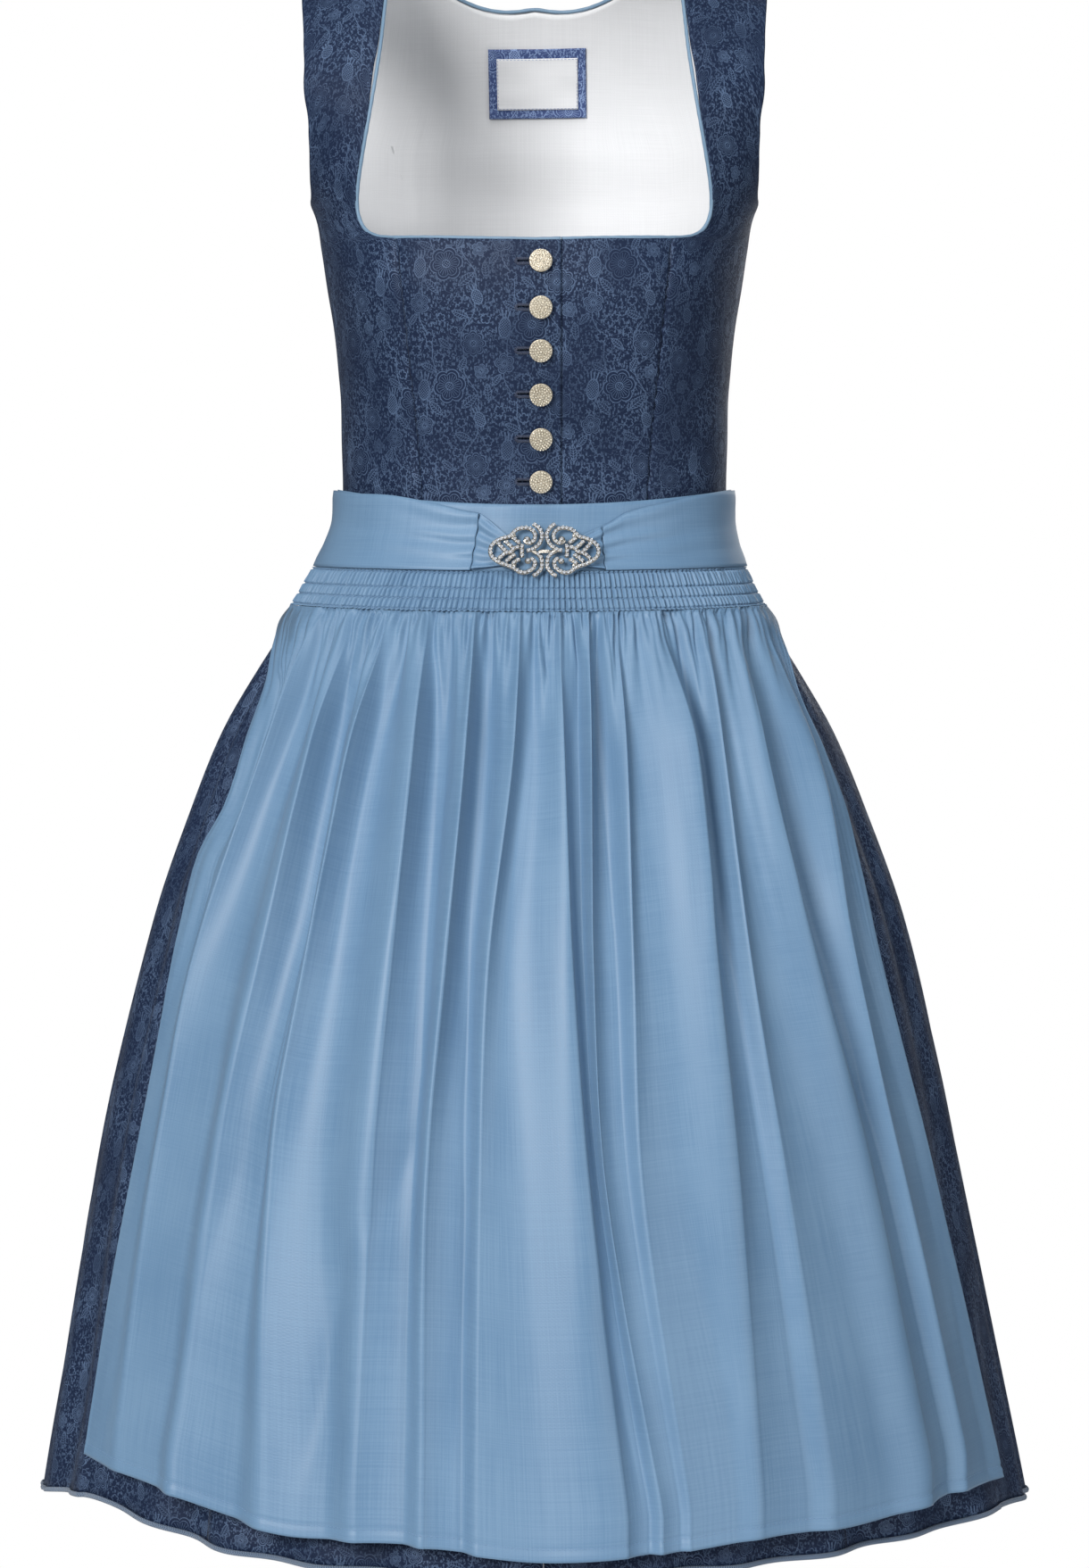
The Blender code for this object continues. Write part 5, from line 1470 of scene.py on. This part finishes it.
def apronRow(share):
    # angle and height of every column at a share of the way down
    hem = float(readTable(apronHem, 0.0)[1])
    level = mix(apron["headerFront"], hem, share)
    sides = np.radians(readTable(apronEdges, level)[1:])
    growth = apron["deeper"] * mix(apron["topFold"], 1.0, float(ease(share / apron["growth"])))
    crests = [(-sides[0], 0.0, 0.012)]
    for fold, drops in zip(apronFolds, apronDrops):
        x = readTable(list(zip(apron["foldLevels"], fold[:5]))[::-1], level)[1]
        depth, fade = fold[5:]
        angle = float(angleOf(skirtRings, x, level, apron["out"] + depth / 2))
        width = readTable(list(zip(apron["dropShares"], drops)), share)[1]
        crests.append((angle, depth * growth * max(mix(1.0, fade, share), 0.0), width))
    crests.append((sides[1], 0.0, 0.012))
    around = float(readTable(skirtRings, level)[1])
    fall = np.linspace(0, 1, apron["dropColumns"], endpoint=False) ** 1.5
    climb = np.linspace(0, 1, apron["riseColumns"], endpoint=False)
    angles, heights = [], []
    for (start, own, width), (end, following, _) in zip(crests, crests[1:]):
        bottom = start + min(2 * width / around, (end - start) * 0.6)
        angles += [mix(start, bottom, fall), mix(bottom, end, climb)]
        heights += [mix(own, -own, 1 - (1 - fall) ** 3.2)]
        heights += [mix(-own, following, ease(climb ** apron["valleyRise"]))]
    angles, heights = np.concatenate([*angles, [sides[1]]]), np.concatenate([*heights, [0.0]])
    inside = np.minimum(angles + sides[0], sides[1] - angles) / apron["edgeEase"]
    return angles, heights * mix(apron["edgeFold"], 1.0, ease(inside))


# depth of the tucks that join, how many join, their phase, start, full length and fade
gatherStages = ((0.0013, 2, 0.7, 0.004, 0.006, 0.034), (0.0017, 4, 2.1, 0.016, 0.02, 0.07))


def gatherRelief(u, down):
    # the tucks run on below the stitching, join in twos and fours, and end in short pleats
    dice = np.random.default_rng(21)
    wander = 0.0008 * np.sin(u * 130) + 0.0006 * np.sin(u * 310 + 1)
    wave = 2 * pi * (u + wander) / gather["pitch"]
    relief = 0.0006 * np.cos(wave) * (1 - ease(down / 0.012)) + 0.0014 * bell(down - 0.009, 0.008)
    for depth, joins, phase, start, full, fade in gatherStages:
        faded = 1 - ease((down - full) / fade)
        relief = relief + depth * np.cos(wave / joins + phase) * ease(down / start) * faded
    reach = float(u.max())
    for step in range(gather["count"]):
        centre = (step + dice.uniform(0.1, 0.9)) * reach / gather["count"]
        length = mix(gather["shortest"], gather["longest"], dice.uniform(0, 1) ** 2.2)
        depth = gather["depth"] * dice.uniform(0.4, 1.0)
        lean = dice.uniform(-0.05, 0.05)
        part = np.clip(down / length, 0, 1)
        aside = u - centre - lean * down
        width = np.where(aside < 0, gather["left"], gather["right"]) * mix(0.55, 1.4, part)
        off = np.abs(aside) / width
        relief = relief - depth * np.exp(-off ** 1.3) * (1 - part) ** 1.2 * ease(down / 0.003 + 0.2)
    return relief


def makeApron(satin, thread):
    rows = apron["rows"]
    shares = np.interp(np.arange(rows[-1][0], -1, -1), *zip(*rows))
    angle, height = (np.array(part) for part in zip(*map(apronRow, shares)))
    share = shares[:, None]
    top = bandEdge(angle, apron["headerFront"], apron["headerSide"]) - 0.0005
    bottom = readTable(apronHem, np.degrees(angle))[..., 1]
    level = mix(top, bottom, share)
    flat = hips(angle, level, apron["out"])
    u = runs(flat[-1:], 1)
    down = top - level
    # the folds are crisp at the top and soft below
    for step in range(apron["softening"]):
        soft = shares > mix(0.3, 1.15, step / apron["softening"])
        row = height[soft]
        row[:, 1:-1] = (row[:, :-2] + 2 * row[:, 1:-1] + row[:, 2:]) / 4
        height[soft] = row
    height = height + gatherRelief(u, down) + creased(flat[..., 0], level, apronCreases)
    stream = apron["stream"] * ripples(u * 2.2, level * 0.16, 0.016, 31, 9)
    height = height + stream * ease(down / 0.02) * (1 - ease((down - 0.1) / 0.2))
    height = height + apron["rumple"] * ripples(flat[..., 0], level * 0.35, 0.05, 17) * ease(down / 0.05)
    fromHem = level - bottom
    height = height + apron["hemStep"] * (fromHem < apron["hemFold"])
    height = height - apron["hemGroove"] * bell(fromHem - apron["hemFold"], 0.001)
    # the apron rests on the skirt where its valleys are deepest
    nominal = angle
    for _ in range(5):
        nominal = nominal + angle - skirtAngle(nominal)
    lowest = skirtHeight(nominal, level)[0] + apron["wall"] + apron["clear"] - apron["out"]
    height = lowest + apron["rest"] * np.logaddexp(0, (height - lowest) / apron["rest"])
    points = hips(angle, level, apron["out"] + height)
    uv = np.stack([mix(-0.5, 0.5, u / u.max()) * 1.1 + 0 * share, runs(points, 0)], -1)
    piece = sheetObject("apronPanel", points, uv, (satin,), apron["wall"])
    dress(piece, "blue_satin", "apron_panel")
    # the hem is sewn with a line of stitches
    row = int(np.abs(fromHem[:, 200] - apron["hemFold"]).argmin())
    seamStitches("apronHemStitches", points[row, 3:-3], normals(points)[row, 3:-3], hemStitch, thread)


def makeBand(satin):
    angle = np.linspace(-band["halfAngle"], band["halfAngle"], 161)[None, :]
    up = np.linspace(0, 1, 18)[:, None]
    level = mix(bandEdge(angle, band["bottomFront"], band["bottomSide"]),
                bandEdge(angle, band["topFront"], band["topSide"]), up)
    rolled = -band["roll"] * (bell(up, 0.05) + bell(up - 1, 0.05))
    soft = band["rumple"] * ripples(angle * 0.1, up * 0.02, 0.03, 41)
    points = waist(angle, level, band["out"] + (rolled + soft))
    piece = sheetObject("apronWaistband", points, flatPlaces(points), (satin,), band["wall"])
    dress(piece, "blue_satin", "apron_waistband")


def makeHeader(satin, thread):
    ribs = np.array(header["rib"])
    columns = header["tucks"] * len(ribs) + 1
    angle = evenAngles(hips, -0.39, header["halfAngle"], columns)[None, :]
    near = [place + step for place in header["rows"] for step in (-0.035, -0.014, 0, 0.014, 0.035)]
    between = [0.1, 0.17, 0.24, 0.37, 0.435, 0.5, 0.65, 0.74, 0.84, 1.0]
    up = np.array(sorted([*near, *between]))[:, None]
    low = bandEdge(angle, apron["headerFront"], apron["headerSide"])
    high = bandEdge(angle, band["bottomFront"], band["bottomSide"]) - header["gap"]
    level = mix(low, high, up)
    dice = np.random.default_rng(5)
    size = np.repeat(dice.uniform(0.7, 1.1, header["tucks"]), len(ribs))
    rib = np.append(np.tile(ribs, header["tucks"]) * size, -0.3)[None, :]
    rib = rib * mix(1.0, 0.35, ease((np.degrees(angle) - 66) / 14))
    pinch = sum(bell(up - place, 0.02) for place in header["rows"])
    puff = 0.0004 * ripples(angle * 0.14, up * 0.006, 0.004, 9)
    height = header["height"] * rib * (1 - 0.45 * pinch) + 0.0002 - header["groove"] * pinch
    height = height + puff * (1 - pinch)
    points = hips(angle, level, mix(header["bottom"], header["top"], up) + height)
    piece = sheetObject("apronGathers", points, flatPlaces(points), (satin,), header["wall"])
    dress(piece, "blue_satin", "apron_gathers")
    outwards = normals(hips(angle, level, 0.004))
    pieces = []
    for place in header["rows"]:
        at = int(np.abs(up[:, 0] - place).argmin())
        crest = points[at, 3::len(ribs)]
        line = smoothLine(crest, header["tucks"] * 7)
        across = np.linspace(0, outwards.shape[1] - 1, len(line)).astype(int)
        pieces.append(seamStitches("gatherStitches", line, outwards[at, across], gatherStitch, thread))
    dress(joined("gatherStitches", pieces), "blue_thread")


# Ties

tie = {
    "leftSeam": radians(16.6), "rightSeam": radians(12.4), "end": radians(262.25), "out": 0.0061,
    "wall": 0.001, "pleats": 3.2, "pleat": 0.0011, "pleatReach": 0.035, "crease": 0.0008, "roll": 0.0006,
    "rumple": 0.00035,
}


# where each crease starts up the tie, its slope, width and reach
tieCreases = ((0.42, 1.2, 0.06, 0.09), (0.66, -0.9, 0.05, 0.07), (0.2, 0.4, 0.05, 0.11))


def tieRelief(along, up, seed):
    # gathers at the sewn end, and long flat creases from the pull on the clasp
    gathered = np.exp(-(along / tie["pleatReach"]) ** 1.3)
    pleats = np.cos(2 * pi * (up * tie["pleats"] + 0.2 * np.sin(along * 60))) * tie["pleat"] * gathered
    crease = 0.0
    for place, slope, width, reach in tieCreases:
        crease = crease + bell(up - place - slope * along, width) * bell(along, reach)
    rolled = bell(up, 0.06) + bell(up - 1, 0.06)
    soft = tie["rumple"] * ripples(along * 0.6, up * 0.03, 0.03, seed)
    return pleats - tie["crease"] * crease - tie["roll"] * rolled + soft


def makeTie(name, node, side, satin):
    seam = tie["leftSeam"] if side > 0 else tie["rightSeam"]
    angle = seam + (tie["end"] - seam) * (np.linspace(0, 1, 280)[None, :] ** 1.15)
    station = readTable(tieStations, np.degrees(angle))
    topColumn, highColumn = (1, 4) if side > 0 else (2, 5)
    up = np.linspace(0, 1, 21)[:, None]
    level = mix(station[..., 3], station[..., topColumn], up)
    out = mix(band["out"], tie["out"], station[..., highColumn]) + 0 * up
    along = runs(waist(angle, station[..., 3], tie["out"]), 1)
    points = waist(side * angle, level, out + tieRelief(along, up, 51 + side))
    uv = flatPlaces(points)
    if side < 0:
        points, uv = points[:, ::-1], uv[:, ::-1] * (-1, 1)
    piece = sheetObject(name, points, uv, (satin,), tie["wall"])
    dress(piece, "blue_satin", node)


# Loops of the ties, gathered round the bars of the clasp

clasp = {
    "x": 0.006, "z": -0.3664, "standOff": 0.0043, "gap": 0.0003, "wire": 0.00134, "flat": 0.56,
    "rise": 0.0016, "barX": 0.0187, "barWidth": 0.0025, "barThickness": 0.0009, "barHalf": 0.0108,
    "barDepth": 0.0022,
}
loop = {
    "wall": 0.001, "halfAtBar": 0.0084, "ease": 0.0003, "turn": 0.35, "tail": 0.002,
    "pleats": 3.6, "pleat": 0.0013, "pleatEnd": 0.006, "pleatFade": 0.014, "seam": 0.0004,
}


def claspFrame():
    return frameAt(waist, float(angleOf(bandRings, clasp["x"], clasp["z"])), clasp["z"], band["out"])


def makeLoop(name, node, side, satin):
    place = claspFrame()
    seam = tie["leftSeam"] if side > 0 else tie["rightSeam"]
    station = readTable(tieStations, np.degrees(seam))
    top, bottom = station[1 if side > 0 else 2], station[3]
    barX, half = clasp["barX"], clasp["barWidth"] / 2
    reach = half + seamGap + loop["wall"]
    clear = clasp["barThickness"] / 2 + loop["ease"] + loop["wall"]
    # the cloth runs straight to the bar, then round it in six bends
    places = np.concatenate([np.linspace(0, 3, 36), np.linspace(3, 8, 22)[1:]])
    rows = []
    for up in np.linspace(0, 1, 26):
        start = Vector(waist(side * seam, mix(bottom + seamGap, top - seamGap, up), tie["out"]))
        start.x -= side * seamGap
        y = mix(-loop["halfAtBar"], loop["halfAtBar"], up)
        turns = ((barX + half, clear), (barX - half, clear), (barX - reach, clear * loop["turn"]),
                 (barX - reach, -clear * loop["turn"]), (barX - half, -clear),
                 (barX + half + loop["tail"], -clear))
        near = [place @ Vector((side * x, y, clasp["barDepth"] + rise)) for x, rise in turns]
        way = [start, start.lerp(near[0], 0.33), start.lerp(near[0], 0.7), *near]
        rows.append(readTable(numbered(way), places)[:, 1:])
    points = np.array(rows)
    if side > 0:
        points = points[:, ::-1]
    along = runs(points, 1)
    if side > 0:
        along = along[:, -1:] - along
    up = np.linspace(0, 1, 26)[:, None]
    pleats = np.cos(2 * pi * (up * loop["pleats"] + 0.12 * np.sin(along * 150)))
    faded = 1 - ease((along - loop["pleatEnd"]) / loop["pleatFade"])
    points = raised(points, loop["pleat"] * pleats * faded - loop["seam"] * bell(along, 0.0012))
    piece = sheetObject(name, points, flatPlaces(points), (satin,), loop["wall"] * 0.8)
    dress(piece, "blue_satin", node)


# Clasp: bent bars with a row of set stones on each. Paths are millimetres in the plane of the
# clasp, for the wearer's right half, and mirror for the other.

claspBars = (
    ((-6.7, 17.4), (-3.5, 14.9), (-1.5, 11.1), (-1.5, 7.9), (-3.0, 4.2), (-5.3, 1.9), (-8.1, 0.0),
     (-10.9, -0.5)),
    ((-7.2, -0.5), (-4.4, -2.3), (-2.1, -5.1), (-1.5, -8.4), (-1.6, -11.6), (-3.0, -13.9), (-5.3, -16.3),
     (-7.2, -17.2)),
    ((-33.7, -0.9), (-32.7, 2.8), (-29.5, 6.0), (-25.3, 7.9), (-21.1, 9.1), (-19.5, 11.1), (-17.0, 13.5),
     (-13.2, 14.6), (-9.5, 14.4), (-6.7, 12.5), (-5.6, 9.8), (-6.3, 6.5), (-8.6, 4.6), (-10.9, 4.9),
     (-12.3, 6.5)),
    ((-33.7, -0.9), (-32.7, -4.2), (-30.4, -6.5), (-25.8, -9.3), (-21.6, -10.7), (-18.3, -12.5),
     (-15.6, -14.6), (-12.3, -15.1), (-9.1, -13.9), (-6.7, -11.8), (-5.8, -8.8), (-6.7, -6.5),
     (-8.8, -6.0)),
    ((-13.7, 3.7), (-13.9, -0.7), (-13.7, -5.1)),
    ((-29.0, 5.0), (-26.3, 1.6), (-24.0, -1.0)),
    ((-24.5, 6.0), (-22.0, 3.6), (-20.0, 1.8)),
    ((-19.5, 8.2), (-17.0, 6.0), (-15.0, 4.4)),
    ((-28.5, -6.0), (-26.5, -4.0), (-24.0, -2.0), (-21.0, -1.5), (-19.0, 1.0), (-15.5, 2.0)),
    ((-24.0, -8.0), (-21.0, -5.0), (-18.0, -3.0)),
    ((-20.0, -9.4), (-18.0, -7.6), (-15.4, -6.0)),
)
# x, y and radius in millimetres
claspBalls = ((-10.7, 6.9, 2.2), (-10.2, -7.4, 2.0))
setting = {
    "radius": 0.00122, "height": 0.0007, "inset": 0.78, "hollow": 0.0003, "up": 0.0024, "onBall": 0.0008,
    "pitch": 2.5, "apart": 2.1,
}
stone = {"radius": 0.00101, "girdle": 0.0003, "table": 0.55, "rise": 0.00046, "seat": 0.00018}
# width, height and thickness of the plain fittings of a half, and where they lie
post = {"size": (0.0022, 0.0018, 0.0042), "fromEnd": 0.001, "depth": 0.0041}
hook = (((0.011, 0.0022, 0.001), (0.002, 0, 0.0032)), ((0.0018, 0.0020, 0.0026), (0.0066, 0, 0.0044)))


def claspPlace(side, x, y, height=0.0):
    # frame of a place on the face of one half
    half = Matrix.Translation((clasp["gap"] / 2 * side, 0, clasp["standOff"] + height))
    return claspFrame() @ half @ Matrix.Translation((-side * x / 1000, y / 1000, 0))


def bentBar(side, path, finish):
    # a round wire along the path, pressed flat
    curve = bpy.data.curves.new("claspBar", "CURVE")
    curve.dimensions = "3D"
    curve.bevel_depth = clasp["wire"]
    curve.bevel_resolution = 3
    curve.use_fill_caps = True
    line = smoothLine([(-side * x / 1000, y / 1000, 0) for x, y in path], 4 * len(path) + 1)
    spline = curve.splines.new("POLY")
    spline.points.add(len(line) - 1)
    for point, place in zip(spline.points, line):
        point.co = (*place, 1)
    selectOnly(placed("claspBar", curve))
    bpy.ops.object.convert(target="MESH")
    piece = bpy.context.object
    piece.data.transform(Matrix.Diagonal((1, 1, clasp["flat"], 1)))
    piece.data.transform(claspPlace(side, 0, 0, clasp["rise"]))
    piece.data.materials.append(finish)
    return piece


def bezelShape():
    # a low cup with a hollow for its stone
    cup = added(bpy.ops.mesh.primitive_cylinder_add, vertices=14, radius=setting["radius"],
                depth=setting["height"])
    bpy.ops.object.mode_set(mode="EDIT")
    pickFaces(cup, 2)
    bpy.ops.mesh.inset(thickness=setting["radius"] * (1 - setting["inset"]))
    bpy.ops.transform.translate(value=(0, 0, -setting["hollow"]))
    bpy.ops.object.mode_set(mode="OBJECT")
    return takeShape(cup)


def stoneShape():
    # a cut stone: a girdle, a crown of facets and a flat table
    piece = added(bpy.ops.mesh.primitive_cylinder_add, vertices=8, radius=stone["radius"],
                  depth=stone["girdle"])
    bpy.ops.object.mode_set(mode="EDIT")
    pickFaces(piece, 2)
    bpy.ops.mesh.extrude_region_move(TRANSFORM_OT_translate={"value": (0, 0, stone["rise"])})
    bpy.ops.transform.resize(value=(stone["table"], stone["table"], 1))
    bpy.ops.object.mode_set(mode="OBJECT")
    return takeShape(piece)


def easedBox(size, place, finish):
    # a small bar with its edges eased
    piece = added(bpy.ops.mesh.primitive_cube_add, size=1.0)
    piece.data.transform(Matrix.Diagonal((*size, 1)))
    bpy.ops.object.mode_set(mode="EDIT")
    bpy.ops.mesh.select_all(action="SELECT")
    bpy.ops.mesh.bevel(offset=min(size) * 0.22, segments=2, affect="EDGES")
    bpy.ops.object.mode_set(mode="OBJECT")
    piece.data.transform(place)
    piece.data.materials.append(finish)
    return piece


def stonePlaces():
    # x, y and whether it is on a ball, with a stone left out where it would sit on another
    places = [(x, y, True) for x, y, radius in claspBalls]
    for path in claspBars:
        fine = smoothLine([(*point, 0.0) for point in path], 400)
        along = runs(fine[None], 1)[0]
        count = max(int(along[-1] / setting["pitch"]), 2)
        for at in (np.arange(count) + 0.5) * along[-1] / count:
            places.append((np.interp(at, along, fine[:, 0]), np.interp(at, along, fine[:, 1]), False))
    kept = []
    for place in places:
        if all((place[0] - x) ** 2 + (place[1] - y) ** 2 > setting["apart"] ** 2 for x, y, ball in kept):
            kept.append(place)
    return kept


def makeClasp(name, node, side, silver, glass):
    pieces = [bentBar(side, path, silver) for path in claspBars]
    for x, y, radius in claspBalls:
        ball = added(bpy.ops.mesh.primitive_uv_sphere_add, segments=20, ring_count=12, radius=radius / 1000)
        ball.data.transform(claspPlace(side, x, y, clasp["rise"]) @ Matrix.Diagonal((1, 1, 0.6, 1)))
        ball.data.materials.append(silver)
        bpy.ops.object.shade_smooth()
        pieces.append(ball)
    frames = [claspPlace(side, x, y, setting["up"] + ball * setting["onBall"])
              for x, y, ball in stonePlaces()]
    pieces.append(copies(f"{name}Cups", bezelShape(), frames, silver))
    seat = Matrix.Translation((0, 0, stone["seat"]))
    dress(copies(f"{name}Stones", stoneShape(), [place @ seat for place in frames], glass), "clear_stone")
    barX, postY = side * clasp["barX"], clasp["barHalf"] - post["fromEnd"]
    barSize = (clasp["barWidth"], 2 * clasp["barHalf"], clasp["barThickness"])
    fittings = [(barSize, (barX, 0, clasp["barDepth"]))]
    fittings += [(post["size"], (barX, y, post["depth"])) for y in (-postY, postY)]
    if side > 0:
        fittings += hook
    pieces += [easedBox(size, claspFrame() @ Matrix.Translation(place), silver) for size, place in fittings]
    piece = joined(name, pieces)
    selectOnly(piece)
    bpy.ops.object.shade_smooth_by_angle(angle=radians(38))
    dress(piece, "antique_silver", node)


# Buttons: a domed filigree face with rings of grains, a fluted rim and a shank

relief = {
    "teeth": 26, "tooth": 0.00028, "toothRadius": 0.0071, "toothWidth": 0.0006,
    "scrolls": 9, "scroll": 0.00022, "scrollRadius": 0.004, "scrollWidth": 0.0016, "twist": 2400,
}
shank = {"radius": 0.0013, "length": 0.0026, "middle": -0.0012}
# radius of each ring of grains, their number and size
grainRings = (
    (0.0063, 22, 0.00058), (0.0049, 17, 0.0006), (0.0034, 12, 0.00058), (0.0018, 6, 0.0005),
    (0.0, 1, 0.0008),
)


def domeHeight(radius):
    share = np.clip(radius / button["radius"], 0, 1)
    return button["rim"] + (button["height"] - button["rim"]) * np.sqrt(1 - share ** 2 * 0.985)


def buttonShape(metal, recessShade):
    dome = added(bpy.ops.mesh.primitive_cylinder_add, vertices=104, radius=button["radius"],
                 depth=button["rim"], end_fill_type="TRIFAN", location=(0, 0, button["rim"] / 2))
    bpy.ops.object.mode_set(mode="EDIT")
    pickFaces(dome, 2)
    for _ in range(11):
        bpy.ops.mesh.inset(thickness=button["radius"] / 13)
    bpy.ops.object.mode_set(mode="OBJECT")
    for vertex in dome.data.vertices:
        x, y, z = vertex.co
        radius, turn = np.hypot(x, y), np.arctan2(y, x)
        if z > button["rim"] * 0.9:
            teeth = np.sin(relief["teeth"] * turn)
            teeth = teeth * bell(radius - relief["toothRadius"], relief["toothWidth"])
            swirl = np.sin(relief["scrolls"] * turn + radius * relief["twist"])
            swirl = swirl * bell(radius - relief["scrollRadius"], relief["scrollWidth"])
            vertex.co.z = domeHeight(radius) + teeth * relief["tooth"] + swirl * relief["scroll"]
        elif radius > button["radius"] * 0.9:
            vertex.co.x, vertex.co.y = x * 0.95, y * 0.95
    # the dome between the grains takes the darker copy of the metal, painted shade
    dome.data.materials.append(recessShade)
    stem = added(bpy.ops.mesh.primitive_cylinder_add, vertices=16, radius=shank["radius"],
                 depth=shank["length"], location=(0, 0, shank["middle"]))
    stem.data.materials.append(metal)
    bpy.ops.object.transform_apply(location=True)
    bead = added(bpy.ops.mesh.primitive_uv_sphere_add, segments=8, ring_count=5, radius=1.0)
    bpy.ops.object.shade_smooth()
    grain = takeShape(bead)
    frames = []
    for radius, count, size in grainRings:
        for turn in np.arange(count) * 2 * pi / count:
            at = (radius * cos(turn), radius * sin(turn), float(domeHeight(radius)))
            frames.append(Matrix.Translation(at) @ Matrix.Diagonal((size, size, size * 0.8, 1)))
    selectOnly(dome)
    bpy.ops.object.transform_apply(location=True)
    bpy.ops.object.shade_smooth()
    return joined("button", [dome, stem, copies("grains", grain, frames, metal)])


def makeButtons(metal, recessShade):
    model = buttonShape(metal, recessShade)
    for number, level in enumerate(buttonLevels, 1):
        piece = placed(f"domedButton{number}", model.data.copy())
        piece.data.transform(buttonFrame(level, button["lift"]) @ Matrix.Rotation(number * 1.1, 4, "Z"))
        dress(piece, "champagne_metal", f"button_{number}")
    bpy.data.objects.remove(model)


# Light, floor and camera

view = {"place": (0.006428, -3.0, -0.37), "tilt": 0.048457, "focal": 5194.53, "longSide": 1757}
# name, place, size, power and colour
lamps = (
    ("keyLight", (-2.4, -4.9, 1.4), (2.2, 2.0), 300, (1.0, 0.985, 0.965)),
    ("fillLight", (3.4, -3.2, -0.2), (2.4, 2.4), 54, (0.95, 0.98, 1.0)),
    ("topLight", (-0.2, -1.6, 2.6), (1.8, 1.8), 46, (1.0, 1.0, 1.0)),
    ("backLight", (1.2, 3.0, 0.8), (2.4, 2.4), 30, (1.0, 1.0, 1.0)),
)
studio = {"soft": 0.1, "aim": (0.0, 0.0, -0.55), "floor": -1.55, "floorSize": 4.6}


def makeStage(floorFinish):
    scene = bpy.context.scene
    scene.view_settings.view_transform = "Standard"
    camera = placed("camera", bpy.data.cameras.new("camera"))
    camera.data.sensor_width = 36
    camera.data.lens = view["focal"] * 36 / view["longSide"]
    camera.location = view["place"]
    camera.rotation_euler = (pi / 2 - view["tilt"], 0, 0)
    scene.camera = camera
    for name, place, size, power, colour in lamps:
        lamp = bpy.data.lights.new(name, "AREA")
        lamp.shape = "RECTANGLE"
        lamp.size, lamp.size_y = size
        lamp.energy = power
        lamp.color = colour
        item = placed(name, lamp)
        item.location = place
        aim = Vector(studio["aim"]) - Vector(place)
        item.rotation_euler = aim.to_track_quat("-Z", "Y").to_euler()
    world = bpy.data.worlds.new("studio")
    scene.world = world
    world.use_nodes = True
    tree = world.node_tree
    tree.nodes.clear()
    output = tree.nodes.new("ShaderNodeOutputWorld")
    seen = tree.nodes.new("ShaderNodeLightPath")
    both = tree.nodes.new("ShaderNodeMixShader")
    white, soft = tree.nodes.new("ShaderNodeBackground"), tree.nodes.new("ShaderNodeBackground")
    white.inputs[0].default_value = (1, 1, 1, 1)
    white.inputs[1].default_value = 1.0
    soft.inputs[0].default_value = (0.93, 0.96, 1, 1)
    soft.inputs[1].default_value = studio["soft"]
    tree.links.new(seen.outputs["Is Camera Ray"], both.inputs[0])
    tree.links.new(soft.outputs[0], both.inputs[1])
    tree.links.new(white.outputs[0], both.inputs[2])
    tree.links.new(both.outputs[0], output.inputs[0])
    floor = added(bpy.ops.mesh.primitive_plane_add, size=studio["floorSize"],
                  location=(0, 0, studio["floor"]))
    floor.name = "studioFloor"
    floor.data.materials.append(floorFinish)


def makeFloorFinish():
    finish = startFinish("paleFloor", 0.9)
    cloud = noise(objectPlace(finish), 3.0)
    return setFinish(finish, Base_Color=mixedColour(cloud, (0.84, 0.84, 0.84), (0.88, 0.88, 0.88)))


makeStage(makeFloorFinish())
jacquardWeave, satinWeave, agedMetal = jacquardGroup(), satinGroup(), metalGroup()
jacquard = makeJacquard()
satin = makeSatin("blueSatin", satinLook)
cord = makeSatin("bluePiping", pipingLook)
white = makeSatin("whiteLining", liningLook)
braid = makeBraid()
border = makeLabelBorder()
silver = makeMetal("antiqueSilver", silverLook)
champagne = makeMetal("champagneMetal", champagneLook)
recessShaded = makeMetal("champagneRecessShade", recessShadeLook)
glass = makeStone()
paleThread = makeThread("blueThread", (0.10, 0.20, 0.36), (0.17, 0.30, 0.48))
darkThread = makeThread("navyThread", (0.010, 0.018, 0.05), (0.035, 0.055, 0.12))
labelThread = makeThread("labelThread", (0.10, 0.16, 0.38), (0.2, 0.3, 0.55))
print("finishes made")

threadShape = stitchShape()
frontPanel("rightFront", "front_right", True, (jacquard, white))
frontPanel("leftFront", "front_left", False, (jacquard, white))
sidePanel("sideFrontLeft", "side_front_left", 1, (jacquard, white))
sidePanel("sideFrontRight", "side_front_right", -1, (jacquard, white))
makeBacks(jacquard, white)
makePurls(darkThread)
labelPatch("labelBorder", "label_border", label["border"], label["depth"], border, "label_border")
innerDepth = label["depth"] + label["wall"] + label["gap"]
labelPatch("labelCentre", "label", label["centre"], innerDepth, white, "white_lining")
labelStitches("labelEdgeStitches", label["border"], 0.0008, label["depth"], labelThread)
labelStitches("labelCentreStitches", label["centre"], 0.0006, innerDepth, labelThread)
makePiping(cord)
print("bodice made")

makeSkirt(jacquard, braid)
print("skirt made")

makeApron(satin, paleThread)
makeHeader(satin, paleThread)
makeBand(satin)
makeTie("tieLeft", "tie_left", 1, satin)
makeTie("tieRight", "tie_right", -1, satin)
makeLoop("tieLoopLeft", "tie_loop_left", 1, satin)
makeLoop("tieLoopRight", "tie_loop_right", -1, satin)
print("apron made")

makeClasp("claspLeft", "clasp_left", 1, silver, glass)
makeClasp("claspRight", "clasp_right", -1, silver, glass)
makeButtons(champagne, recessShaded)
print("clasp and buttons made")

triangles = [sum(len(face.vertices) - 2 for face in item.data.polygons)
             for item in bpy.context.scene.objects if item.type == "MESH"]
print("triangles", sum(triangles), "and at most", max(triangles), "in a piece")
